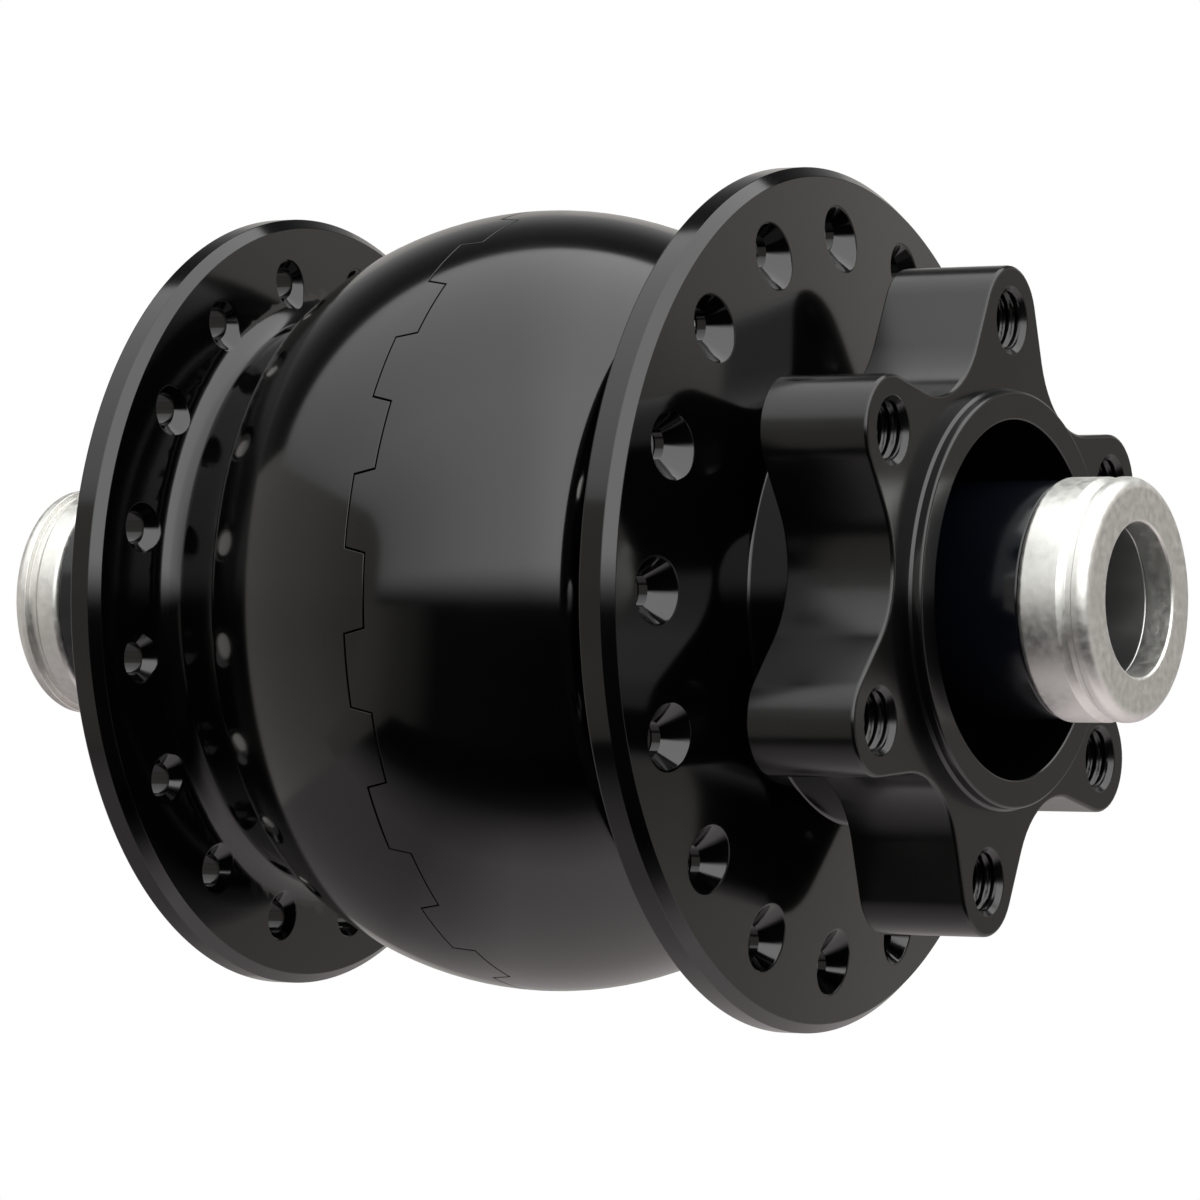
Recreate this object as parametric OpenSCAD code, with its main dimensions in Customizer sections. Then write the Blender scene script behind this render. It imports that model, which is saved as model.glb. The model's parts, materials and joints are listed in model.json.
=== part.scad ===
// Front hub dynamo with a thru-axle bore, two spoke flanges and a six-bolt disc mount.
// The hub axis lies along Y with the disc end at +Y, Z is up, and the origin is on the
// axis at the middle of the width. Profiles are drawn as [radius, y] and turned round Y.
// A clock angle starts at +Z and runs towards +X.

/* [Axle] */
// Width over the two end caps
hub_width = 100; // [98:0.5:112]
// Bore for the thru axle
thru_bore_d = 12; // [10:0.1:12.2]
// Depth of the tube's end behind the face of each cap
cap_lip = 2.3; // [1.8:0.1:2.6]
// Outer diameter of the end caps
end_cap_d = 19; // [18.4:0.1:22]
// Length of the left end cap
left_cap_l = 4.6; // [4.4:0.1:6]
// Length of the right end cap
right_cap_l = 6; // [4.4:0.1:8]
// Rounding of the outer edge of each cap's face
cap_round = 1; // [0.3:0.1:1.2]
// Distance from each cap's face to its grip groove
cap_groove_back = 1.4; // [1.2:0.1:1.6]
// Width of the grip groove at its bottom
cap_groove_w = 0.7; // [0.4:0.1:0.9]
// Depth of the grip groove
cap_groove_h = 0.5; // [0.2:0.05:0.7]
// Outer diameter of the spacer sleeves
sleeve_d = 18.5; // [18.2:0.1:19.4]
// Thickness of the O-ring in each cap
cap_ring_t = 0.8; // [0.5:0.05:0.9]
// Depth of the lead groove along the tube
lead_groove_h = 0.8; // [0.75:0.05:0.85]

/* [Bearings] */
// Bore of the ball bearings and diameter of the axle tube
bearing_bore = 15; // [14.8:0.1:15.6]
// Outer diameter of the ball bearings
bearing_d = 28; // [27.6:0.1:29]
// Width of the ball bearings
bearing_w = 7; // [6.6:0.1:7.6]
// Diameter of the balls
ball_d = 3.97; // [3.6:0.01:4.2]
// Number of balls in each bearing
ball_n = 11; // [8:1:12]
// Radial thickness of the bearing races at their edges
race_t = 1.9; // [1.7:0.05:2.1]
// Running clearance of the balls, the seals and the dust covers
running_gap = 0.06; // [0.03:0.01:0.1]
// Middle of the left bearing
left_bearing_y = -26; // [-28:0.1:-24.8]
// Middle of the right bearing
right_bearing_y = 19.5; // [17.5:0.1:24]
// Thickness of the retaining rings in the shell
circlip_t = 1.2; // [0.8:0.1:1.4]
// Thickness of the dust covers
dust_cover_t = 1.2; // [0.8:0.1:1.6]

/* [Generator] */
// Pairs of poles
pole_pairs = 13; // [8:1:15]
// Outer diameter of the claw poles
stator_d = 44.6; // [43:0.1:45]
// Length over the claw poles and of the steel ring
stator_l = 22; // [20:0.1:25]
// Thickness of each claw pole's plate
claw_plate_t = 3; // [2:0.1:3.5]
// Thickness of the claws
claw_t = 1.5; // [1:0.1:2]
// Share of the pole pitch that a claw covers
claw_share = 0.68; // [0.5:0.01:0.8]
// Diameter of the steel core on the axle
core_d = 21; // [20:0.1:23]
// Wall of the coil's bobbin
bobbin_t = 0.8; // [0.5:0.1:1.2]
// Gap between the claw poles and the magnets
air_gap = 0.4; // [0.3:0.05:0.6]
// Thickness of the magnets
magnet_t = 2.5; // [2:0.1:2.8]
// Length of the magnets
magnet_l = 20; // [16:0.1:20]
// Gap between one magnet and the next
magnet_gap = 0.5; // [0.2:0.1:1.5]
// Thickness of the steel ring
yoke_t = 2; // [1.5:0.1:2.4]
// Diameter of each lead wire
wire_d = 0.7; // [0.5:0.02:0.7]

/* [Barrel] */
// Largest diameter of the barrel
barrel_d = 63.4; // [62.4:0.1:68]
// Width of the barrel between its end walls
barrel_w = 34.3; // [33:0.1:36]
// Middle of the barrel
barrel_y = -1.85; // [-2.2:0.05:-1.5]
// Radius of the barrel's crown along the axis
crown_r = 28.5; // [26:0.5:60]
// Rounding between the crown and the end walls
shoulder_r = 3; // [2:0.1:3.6]
// Thickness of the barrel's end walls
end_wall_t = 3.35; // [2:0.05:3.8]
// Depth of the necks under the inner ends of the barrel's shoulders
neck_step = 1; // [0.6:0.05:2.4]
// Fillet between each neck and its flange
neck_fillet = 2.15; // [1.5:0.05:2.4]

/* [Seam] */
// Number of teeth on each half of the shell
seam_teeth = 16; // [8:1:24]
// Height of the seam's teeth along the axis
tooth_h = 1.8; // [1:0.1:3]
// Slant of the teeth's flanks
tooth_slant = 14; // [5:1:25]
// Joint gap between the halves
seam_gap = 0.12; // [0.06:0.01:0.2]
// Middle of the seam
seam_y = -1.55; // [-3:0.05:0]

/* [Flanges] */
// Spoke holes in each flange
holes_per_flange = 16; // [12:2:18]
// Diameter of the spoke holes
spoke_hole_d = 2.7; // [2.3:0.1:2.8]
// Diameter of the countersinks in the flanges' inner faces
inner_sink_d = 4; // [3.2:0.1:4.2]
// Depth of the countersinks in the flanges' inner faces
inner_sink_h = 0.65; // [0.3:0.05:0.8]
// Diameter of the left flange
left_flange_d = 63.6; // [62:0.1:68]
// Thickness of the left flange
left_flange_t = 2.5; // [2.4:0.1:3.2]
// Outer face of the left flange
left_flange_y = -28.1; // [-29.5:0.1:-27.6]
// Dish of the left flange's inner face
left_dish = 5; // [0:0.5:8]
// Pitch circle of the left spoke holes
left_pcd = 53.5; // [52:0.1:55]
// Diameter of the countersinks in the left flange's outer face
left_sink_d = 3.5; // [3:0.1:4]
// Depth of the countersinks in the left flange's outer face
left_sink_h = 0.4; // [0.2:0.05:0.7]
// Diameter of the right flange
right_flange_d = 68.6; // [67:0.1:72]
// Thickness of the right flange
right_flange_t = 2.75; // [2.6:0.05:3.2]
// Inner edge of the right flange's rim
right_rim_y = 20; // [19:0.1:21]
// Dish of the right flange
dish = 8.5; // [5:0.5:10]
// Pitch circle of the right spoke holes
right_pcd = 58; // [56:0.1:60]
// Diameter of the countersinks in the right flange's outer face
right_sink_d = 5.2; // [3.4:0.1:5.4]
// Depth of the countersinks in the right flange's outer face
right_sink_h = 1.35; // [0.4:0.05:1.5]
// Width of the bevels on the rims
rim_bevel = 0.75; // [0.2:0.05:1]

/* [Disc mount] */
// Pitch circle of the six bolts
bolt_pcd = 44; // [43:0.1:46]
// Diameter of the bolt holes
bolt_hole_d = 5; // [4:0.1:5.4]
// Radius of each lobe round its bolt hole
lobe_r = 4.3; // [3.8:0.1:4.8]
// Angle between each flank of a lobe and the lobe's own axis
lobe_flank = 22; // [16:1:24]
// Radius of the mount between two lobes
valley_r = 18; // [17.7:0.1:18.4]
// Length of the lobes along the axis
lobe_l = 9.2; // [6:0.1:10.4]
// Distance from the right cap's face to the face for the disc
disc_back = 12; // [9:0.1:13]
// Diameter of the collar that centres the disc
pilot_d = 33; // [30:0.1:35.2]
// Height of the collar
pilot_h = 1.5; // [1:0.1:2]
// Diameter of the core behind the lobes
mount_core_d = 35.2; // [34:0.1:35.4]

/* [Terminals] */
// Outer diameter of the terminal ring
terminal_ring_d = 26; // [24:0.5:27]
// Width of the terminal ring along the axis
terminal_w = 4.8; // [4:0.1:5.6]
// Distance of the contact tabs' tips from the axis
tab_reach = 20; // [18:0.1:22]
// Width of each contact tab
tab_w = 2.8; // [2:0.1:3]
// Thickness of each contact tab
tab_t = 0.8; // [0.5:0.05:1]
// Distance between the two contact tabs
tab_pitch = 6.4; // [5:0.1:7]

/* [Position] */
// Turn of the shell at rest
shell_turn = -1.4; // [-11:0.1:11]
// Turn of the lobes from the right flange's holes
lobe_turn = -4.15; // [-30:0.05:30]

/* [Hidden] */

$fn = 128;
small_fn = 48;
arc_steps = 24;
fillet_steps = 8;
past = 1;

// Axle stack
half_w = hub_width / 2;
tube_r = bearing_bore / 2;
tube_end = half_w - cap_lip;
sleeve_r = sleeve_d / 2;
tube_chamfer = 0.3;
cap_chamfer = 0.5;
cap_ring_back = 0.6;
lead_groove_w = 1.9;
lead_spread = 0.45;

// Bearings, with the side as -1 for left and 1 for right
function bearing_y(side) = side < 0 ? left_bearing_y : right_bearing_y;
function bearing_out(side) = bearing_y(side) + side * bearing_w / 2;
function bearing_in(side) = bearing_y(side) - side * bearing_w / 2;
bearing_r = bearing_d / 2;
pitch_r = (tube_r + bearing_r) / 2;
inner_race_r = tube_r + race_t;
outer_race_r = bearing_r - race_t;
seal_t = 0.5;
seal_back = 0.1;
bearing_lip_r = bearing_r - 1.5;
cage_t = 0.9;
cage_gap = 0.4;
cage_w = bearing_w - 2 * (seal_back + seal_t + cage_gap);
circlip_h = 1.6;
circlip_groove_h = 0.6;
circlip_gap = 0.1;
circlip_opening = 26;
cover_gap = 0.3;

// Generator, centred in the barrel
stator_r = stator_d / 2;
core_r = core_d / 2;
plate_r = stator_r - claw_t - 0.5;
coil_l = stator_l - 2 * claw_plate_t;
magnet_r = stator_r + air_gap;
yoke_r = magnet_r + magnet_t;
seat_r = yoke_r + yoke_t;
pole_pitch = 180 / pole_pairs;
claw_angle = pole_pitch * claw_share;
claw_end_gap = 1;
claw_inset = 0.2;
lead_r = core_r + 2.5;
cavity_r = yoke_r - 1.2;
stator_left = barrel_y - stator_l / 2;
stator_right = barrel_y + stator_l / 2;
seal_ring_t = 0.9;
seal_ring_from_seam = 4.5;

// Barrel outline: a crown arc that runs into a shoulder arc at each end
barrel_half = barrel_w / 2;
crown_mid_r = barrel_d / 2 - crown_r;
shoulder_y = barrel_half - shoulder_r;
shoulder_mid_r = crown_mid_r + sqrt(pow(crown_r - shoulder_r, 2) - pow(shoulder_y, 2));
shoulder_angle = asin(shoulder_y / (crown_r - shoulder_r));
barrel_left = barrel_y - barrel_half;
barrel_right = barrel_y + barrel_half;
cavity_half = barrel_half - end_wall_t;
// The leads cross to the tube half-way between the stator and the end wall
lead_rise_y = (stator_left + barrel_y - cavity_half) / 2;
neck_r = shoulder_mid_r - neck_step;
neck_root = 0.9 * neck_step;
neck_corner_r = neck_r + neck_fillet;
function crown_angle(y) = asin((y - barrel_y) / crown_r);

// Seam
seam_left = seam_y - tooth_h / 2;
seam_right = seam_y + tooth_h / 2;
tooth_pitch = 360 / seam_teeth;
tooth_mid_w = barrel_d / 2 * tan(tooth_pitch / 4);
tooth_side_gap = seam_gap / 2 / cos(tooth_slant);

// Left flange and neck
left_rim_r = left_flange_d / 2;
left_flange_in = left_flange_y + left_flange_t;
function left_in_y(r) = left_flange_in + (left_rim_r - rim_bevel - r) * tan(left_dish);
edge_bevel = 0.2;
boss_r = bearing_r + 3.5;
boss_fillet = 1;
boss_end = bearing_out(-1) - circlip_gap - circlip_t - cover_gap - dust_cover_t - 0.7;
sink_margin = 0.05;

// Right flange and neck
right_rim_r = right_flange_d / 2;
dish_rise = tan(dish);
function right_in_y(r) = right_rim_y + (right_rim_r - r) * dish_rise;
function right_out_y(r) = right_in_y(r) + right_flange_t;
mount_fillet = 0.3;

// Disc mount; the valley arc touches the flanks of both lobes beside it
disc_y = half_w - disc_back;
lobe_back_y = disc_y - lobe_l;
mount_core_r = mount_core_d / 2;
pilot_r = pilot_d / 2;
pilot_bevel = 0.3;
bolt_r = bolt_pcd / 2;
lobe_n = 6;
lobe_half_pitch = 180 / lobe_n;
flank_reach = bolt_r * sin(lobe_flank) + lobe_r;
valley_mid_r = (valley_r - flank_reach) / (1 - sin(lobe_half_pitch + lobe_flank));
valley_fillet = valley_mid_r - valley_r;
lobe_overlap = 3;
hole_bevel = 0.15;

// Terminals, on the far side from the +X direction
terminal_y1 = boss_end - 0.5;
terminal_y0 = terminal_y1 - terminal_w;
terminal_y = (terminal_y0 + terminal_y1) / 2;
terminal_ring_r = terminal_ring_d / 2;
block_reach = terminal_ring_r + 2;
tab_root = sleeve_r + 2.75;
block_side = 2.4;
lead_window_w = 1.2;
lead_end_gap = 0.25;

hole_pitch = 360 / holes_per_flange;

function arc(mid, r, a0, a1, steps) =
    [for (i = [0:steps]) mid + r * [cos(a0 + (a1 - a0) * i / steps), sin(a0 + (a1 - a0) * i / steps)]];

// Lays the lathe axis along Y
module on_axis() { rotate([-90, 0, 0]) children(); }

// Turns a profile of [radius, y] round the axis
module turned() { on_axis() rotate_extrude() children(); }

module ring(r0, r1, y0, y1) {
    turned() translate([r0, min(y0, y1)]) square([r1 - r0, abs(y1 - y0)]);
}

// Puts children at a clock angle, a radius and a y
module clock(angle, r = 0, y = 0) {
    on_axis() rotate([0, 0, angle - 90]) translate([r, 0, y]) children();
}

module drill(angle, r, y0, y1, d) {
    clock(angle, r, y0) cylinder(d = d, h = y1 - y0, $fn = small_fn);
}

// A straight round rod between two points
module rod(p, q, d) {
    v = q - p;
    translate(p) rotate([0, acos(v[2] / norm(v)), atan2(v[1], v[0])])
        cylinder(d = d, h = norm(v), $fn = small_fn);
}

module axle_tube() {
    color("silver") difference() {
        turned() polygon([
            [thru_bore_d / 2, -tube_end + tube_chamfer], [thru_bore_d / 2 + tube_chamfer, -tube_end],
            [tube_r - tube_chamfer, -tube_end], [tube_r, -tube_end + tube_chamfer],
            [tube_r, tube_end - tube_chamfer], [tube_r - tube_chamfer, tube_end],
            [thru_bore_d / 2 + tube_chamfer, tube_end], [thru_bore_d / 2, tube_end - tube_chamfer]
        ]);
        translate([-tube_r - past, terminal_y - lead_window_w / 2, -lead_groove_w / 2])
            cube([past + lead_groove_h, lead_rise_y + lead_window_w - terminal_y, lead_groove_w]);
    }
}

// One end cap; the side is -1 for left and 1 for right
module end_cap(side, length) {
    cap_r = end_cap_d / 2;
    face = half_w;
    rear = half_w - length;
    groove = face - cap_groove_back;
    scale_y = side;
    seat = tube_end - cap_ring_back;
    points = concat(
        [[thru_bore_d / 2, tube_end], [thru_bore_d / 2, face - hole_bevel],
            [thru_bore_d / 2 + hole_bevel, face]],
        arc([cap_r - cap_round, face - cap_round], cap_round, 90, 0, fillet_steps),
        [[cap_r, groove], [cap_r - cap_groove_h, groove],
            [cap_r - cap_groove_h, groove - cap_groove_w],
            [cap_r, groove - cap_groove_w - cap_groove_h],
            [cap_r, rear + cap_chamfer], [cap_r - cap_chamfer, rear], [tube_r, rear],
            [tube_r, seat - cap_ring_t], [tube_r + cap_ring_t, seat - cap_ring_t],
            [tube_r + cap_ring_t, seat], [tube_r, seat], [tube_r, tube_end]]
    );
    color("gainsboro") turned() polygon([for (p = points) [p[0], p[1] * scale_y]]);
}

module cap_o_ring(side) {
    y = tube_end - cap_ring_back - cap_ring_t / 2;
    color("black") turned() translate([tube_r + cap_ring_t / 2, side * y])
        circle(d = cap_ring_t, $fn = small_fn);
}

module spacer_sleeve(side, cap_l) {
    color("midnightblue") difference() {
        ring(tube_r, sleeve_r, bearing_out(side), side * (half_w - cap_l));
        if (side < 0)
            translate([-sleeve_r - past, terminal_y - lead_window_w / 2, -tab_pitch / 2])
                cube([sleeve_r, lead_window_w, tab_pitch]);
    }
}

// Inner race with the ball groove round it
module inner_race(side) {
    color("lightsteelblue") turned() difference() {
        translate([tube_r, bearing_y(side) - bearing_w / 2]) square([race_t, bearing_w]);
        translate([pitch_r, bearing_y(side)]) circle(r = ball_d / 2 + running_gap);
    }
}

module outer_race(side) {
    color("lightsteelblue") turned() difference() {
        translate([outer_race_r, bearing_y(side) - bearing_w / 2]) square([race_t, bearing_w]);
        translate([pitch_r, bearing_y(side)]) circle(r = ball_d / 2 + running_gap);
    }
}

module each_ball(side) {
    for (i = [0:ball_n - 1])
        clock(i * 360 / ball_n, pitch_r, bearing_y(side)) children();
}

module balls(side) {
    color("white") each_ball(side) sphere(d = ball_d, $fn = small_fn);
}

module ball_cage(side) {
    color("peru") difference() {
        ring(pitch_r - cage_t / 2, pitch_r + cage_t / 2,
            bearing_y(side) - cage_w / 2, bearing_y(side) + cage_w / 2);
        each_ball(side) rotate([0, 90, 0])
            cylinder(d = ball_d + 2 * running_gap, h = 3 * cage_t, center = true, $fn = small_fn);
    }
}

module bearing_seals(side) {
    color("dimgray") for (face = [-1, 1]) {
        outer = bearing_y(side) + face * (bearing_w / 2 - seal_back);
        ring(inner_race_r + running_gap, outer_race_r, outer - face * seal_t, outer);
    }
}

// Split ring that holds the bearing in the shell, with a hole in each end for pliers
module circlip(side) {
    near = bearing_out(side) + side * circlip_gap;
    lug_r = bearing_r + circlip_groove_h - circlip_h - 0.4;
    lug_turn = circlip_opening / 2 + 4;
    y0 = min(near, near + side * circlip_t);
    color("gray") difference() {
        union() {
            ring(bearing_r + circlip_groove_h - circlip_h, bearing_r + circlip_groove_h,
                near, near + side * circlip_t);
            for (turn = [-1, 1]) clock(turn * lug_turn, lug_r, y0)
                cylinder(r = 1.6, h = circlip_t, $fn = small_fn);
        }
        for (turn = [-1, 1]) clock(turn * lug_turn, lug_r, y0 - past)
            cylinder(r = 0.7, h = circlip_t + 2 * past, $fn = small_fn);
        clock(0, 0, y0 - past) linear_extrude(circlip_t + 2 * past) polygon([
            [0, 0], [2 * bearing_r, -2 * bearing_r * tan(circlip_opening / 2 - 1)],
            [2 * bearing_r, 2 * bearing_r * tan(circlip_opening / 2 - 1)]
        ]);
    }
}

module dust_cover(side) {
    near = bearing_out(side) + side * (circlip_gap + circlip_t + cover_gap);
    color("darkslategray") ring(sleeve_r + running_gap, bearing_r, near, near + side * dust_cover_t);
}

module stator_spacer(side) {
    end = side < 0 ? stator_left : stator_right;
    color("silver") difference() {
        ring(tube_r, inner_race_r, bearing_in(side), end);
        if (side < 0)
            translate([-inner_race_r - past, lead_rise_y - lead_window_w / 2, -lead_groove_w / 2])
                cube([inner_race_r, stator_left - lead_rise_y + past, lead_groove_w]);
    }
}

module stator_core() {
    color("slategray") ring(tube_r, core_r, stator_left, stator_right);
}

// Window that lets both leads through the left plate and the bobbin
module lead_window() {
    translate([-lead_r - lead_window_w / 2, stator_left - past, -lead_groove_w / 2])
        cube([lead_window_w, claw_plate_t + bobbin_t + past, lead_groove_w]);
}

// Plate with a claw at every second pole; the side is -1 for left and 1 for right
module claw_pole(side) {
    outer = barrel_y + side * stator_l / 2;
    inner = outer - side * claw_plate_t;
    tip = barrel_y - side * (stator_l / 2 - claw_end_gap);
    inset = side * claw_inset;
    color("slategray") difference() {
        union() {
            ring(core_r, plate_r, outer, inner);
            for (i = [0:pole_pairs - 1])
                on_axis() rotate([0, 0, (2 * i + (side + 1) / 2) * pole_pitch - claw_angle / 2])
                    rotate_extrude(angle = claw_angle) polygon([
                        [plate_r - 1, outer - inset], [stator_r, outer - inset], [stator_r, tip],
                        [stator_r - claw_t, tip], [stator_r - claw_t, inner + inset],
                        [plate_r - 1, inner + inset]
                    ]);
        }
        if (side < 0) lead_window();
    }
}

module coil_bobbin() {
    left = barrel_y - coil_l / 2;
    right = barrel_y + coil_l / 2;
    color("ivory") difference() {
        ring(core_r, plate_r - 0.1, left, right);
        ring(core_r + bobbin_t, stator_r, left + bobbin_t, right - bobbin_t);
        lead_window();
    }
}

module coil_winding() {
    half = coil_l / 2 - bobbin_t;
    color("orangered") ring(core_r + bobbin_t, plate_r - 0.6, barrel_y - half, barrel_y + half);
}

// Two leads from the coil, along the groove in the tube and out to the tabs
module lead_wires() {
    groove_x = -tube_r + wire_d / 2 + 0.05;
    color("darkorange") for (s = [-1, 1]) {
        route = [
            [-lead_r, barrel_y - coil_l / 2 + bobbin_t, s * lead_spread],
            [-lead_r, lead_rise_y, s * lead_spread],
            [groove_x, lead_rise_y, s * lead_spread],
            [groove_x, terminal_y, s * lead_spread],
            [-tab_root + lead_end_gap, terminal_y, s * tab_pitch / 2]
        ];
        for (i = [1:len(route) - 1]) rod(route[i - 1], route[i], wire_d);
        for (i = [1:len(route) - 2]) translate(route[i]) sphere(d = wire_d, $fn = small_fn);
    }
}

module tab(side, grow = 0) {
    translate([-tab_reach, terminal_y - tab_w / 2, side * tab_pitch / 2 - tab_t / 2])
        cube([tab_reach - tab_root, tab_w, tab_t]);
}

module terminal_ring() {
    block_w = tab_pitch + tab_t + 2 * block_side;
    color("black") difference() {
        union() {
            ring(sleeve_r, terminal_ring_r, terminal_y0, terminal_y1);
            translate([-block_reach, terminal_y0, -block_w / 2])
                cube([block_reach - sleeve_r, terminal_w, block_w]);
        }
        ring(0, sleeve_r, terminal_y0 - past, terminal_y1 + past);
        translate([-tab_root, terminal_y - lead_window_w / 2, -tab_pitch / 2 - tab_t])
            cube([tab_root, lead_window_w, tab_pitch + 2 * tab_t]);
        for (s = [-1, 1]) tab(s);
    }
}

module contact_tabs() {
    color("gold") for (s = [-1, 1]) tab(s);
}

// Space for the other half's teeth; the side is the half that is cut
module tooth_spaces(side) {
    foot = side < 0 ? seam_left : seam_right;
    centre = side < 0 ? tooth_pitch / 2 : 0;
    low = -seam_gap / 2;
    high = tooth_h + past;
    narrow = tooth_mid_w + (low - tooth_h / 2) * tan(tooth_slant) + tooth_side_gap;
    wide = tooth_mid_w + (high - tooth_h / 2) * tan(tooth_slant) + tooth_side_gap;
    for (i = [0:seam_teeth - 1])
        clock(shell_turn + centre + i * tooth_pitch, cavity_r, foot)
            rotate([90, 0, 90]) linear_extrude(barrel_d / 2 - cavity_r + past)
                polygon([
                    [-narrow, -side * low], [narrow, -side * low],
                    [wide, -side * high], [-wide, -side * high]
                ]);
}

// One end of the cutter for a spoke hole, from its axis to the bore: a straight end, which clears
// the neck's fillet, and a cone that reaches the high side of a sloping face
function sink_points(side, face, slope, sink) =
    let (widen = (sink[0] - spoke_hole_d) / 2 / sink[1])
    let (over = sink_margin + sink[0] / 2 * tan(slope) / (1 - widen * tan(slope)))
    let (rim = sink[0] / 2 + widen * over)
    [
        [0, face + side * (over + past)], [rim, face + side * (over + past)],
        [rim, face + side * over], [spoke_hole_d / 2, face - side * sink[1]]
    ];

// Countersunk holes, from the two ends of their cutter
module spoke_holes(pitch_circle, turn, low, high) {
    for (i = [0:holes_per_flange - 1])
        clock(shell_turn + turn + i * hole_pitch, pitch_circle / 2)
            rotate_extrude($fn = small_fn) polygon([
                low[0], low[1], low[2], low[3], high[3], high[2], high[1], high[0]
            ]);
}

// Bore for the bearing, the circlip groove and the open end, from the lip outwards
function bearing_bore_points(side, open_y) =
    let (groove = bearing_out(side) + side * (circlip_gap / 2))
    let (groove_end = groove + side * (circlip_t + circlip_gap))
    [
        [bearing_r + edge_bevel, open_y], [bearing_r, open_y - side * edge_bevel],
        [bearing_r, groove_end], [bearing_r + circlip_groove_h + 0.05, groove_end],
        [bearing_r + circlip_groove_h + 0.05, groove], [bearing_r, groove],
        [bearing_r, bearing_in(side)], [bearing_lip_r, bearing_in(side)],
        [bearing_lip_r, barrel_y + side * cavity_half],
        [cavity_r, barrel_y + side * cavity_half],
        [cavity_r, barrel_y + side * stator_l / 2],
        [seat_r, barrel_y + side * stator_l / 2]
    ];

// Groove for the seal ring that sits on the steel ring, y counted away from the seam
function seal_groove_points(side, foot) =
    let (y0 = foot + side * (seal_ring_from_seam + seal_ring_t))
    let (y1 = foot + side * seal_ring_from_seam)
    [[seat_r, y0], [seat_r + seal_ring_t, y0], [seat_r + seal_ring_t, y1], [seat_r, y1]];

module left_shell() {
    tip = seam_right - seam_gap / 2;
    points = concat(
        arc([crown_mid_r, barrel_y], crown_r, crown_angle(tip), -shoulder_angle, arc_steps),
        arc([shoulder_mid_r, barrel_left + shoulder_r], shoulder_r, -shoulder_angle, -90,
            fillet_steps),
        arc([neck_r + neck_root, barrel_left - neck_root], neck_root, 90, 180, fillet_steps),
        arc([neck_corner_r, left_in_y(neck_corner_r) + neck_fillet / cos(left_dish)], neck_fillet,
            180, 270 - left_dish, fillet_steps),
        [[left_rim_r - rim_bevel, left_flange_in], [left_rim_r, left_flange_in - rim_bevel],
            [left_rim_r, left_flange_y + edge_bevel], [left_rim_r - edge_bevel, left_flange_y]],
        arc([boss_r + boss_fillet, left_flange_y - boss_fillet], boss_fillet, 90, 180,
            fillet_steps),
        [[boss_r, boss_end + edge_bevel], [boss_r - edge_bevel, boss_end]],
        bearing_bore_points(-1, boss_end),
        seal_groove_points(-1, seam_left),
        [[seat_r, tip]]
    );
    color("#16171a") difference() {
        turned() polygon(points);
        tooth_spaces(-1);
        spoke_holes(left_pcd, hole_pitch / 2,
            sink_points(-1, left_flange_y, 0, [left_sink_d, left_sink_h]),
            sink_points(1, left_in_y(left_pcd / 2), left_dish, [inner_sink_d, inner_sink_h]));
    }
}

// Outline of the six lobes with a round valley between each two; neighbours overlap in the valley
module lobe_outline() {
    flank = [sin(lobe_flank), cos(lobe_flank)];
    tip_touch = [bolt_r, 0] + lobe_r * flank;
    valley_mid = valley_mid_r * [cos(lobe_half_pitch), sin(lobe_half_pitch)];
    valley_touch = valley_mid - valley_fillet * flank;
    far_angle = lobe_half_pitch + lobe_overlap;
    far_corner = valley_mid_r * [cos(far_angle), sin(far_angle)];
    difference() {
        for (i = [0:lobe_n - 1]) rotate(i * 360 / lobe_n) {
            polygon([
                [0, 0], far_corner, valley_touch, tip_touch, [tip_touch[0], -tip_touch[1]],
                [valley_touch[0], -valley_touch[1]], [far_corner[0], -far_corner[1]]
            ]);
            translate([bolt_r, 0]) circle(r = lobe_r);
        }
        for (i = [0:lobe_n - 1]) rotate(i * 360 / lobe_n + lobe_half_pitch)
            translate([valley_mid_r, 0]) circle(r = valley_fillet);
        circle(r = (bearing_r + pilot_r) / 2);
    }
}

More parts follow.
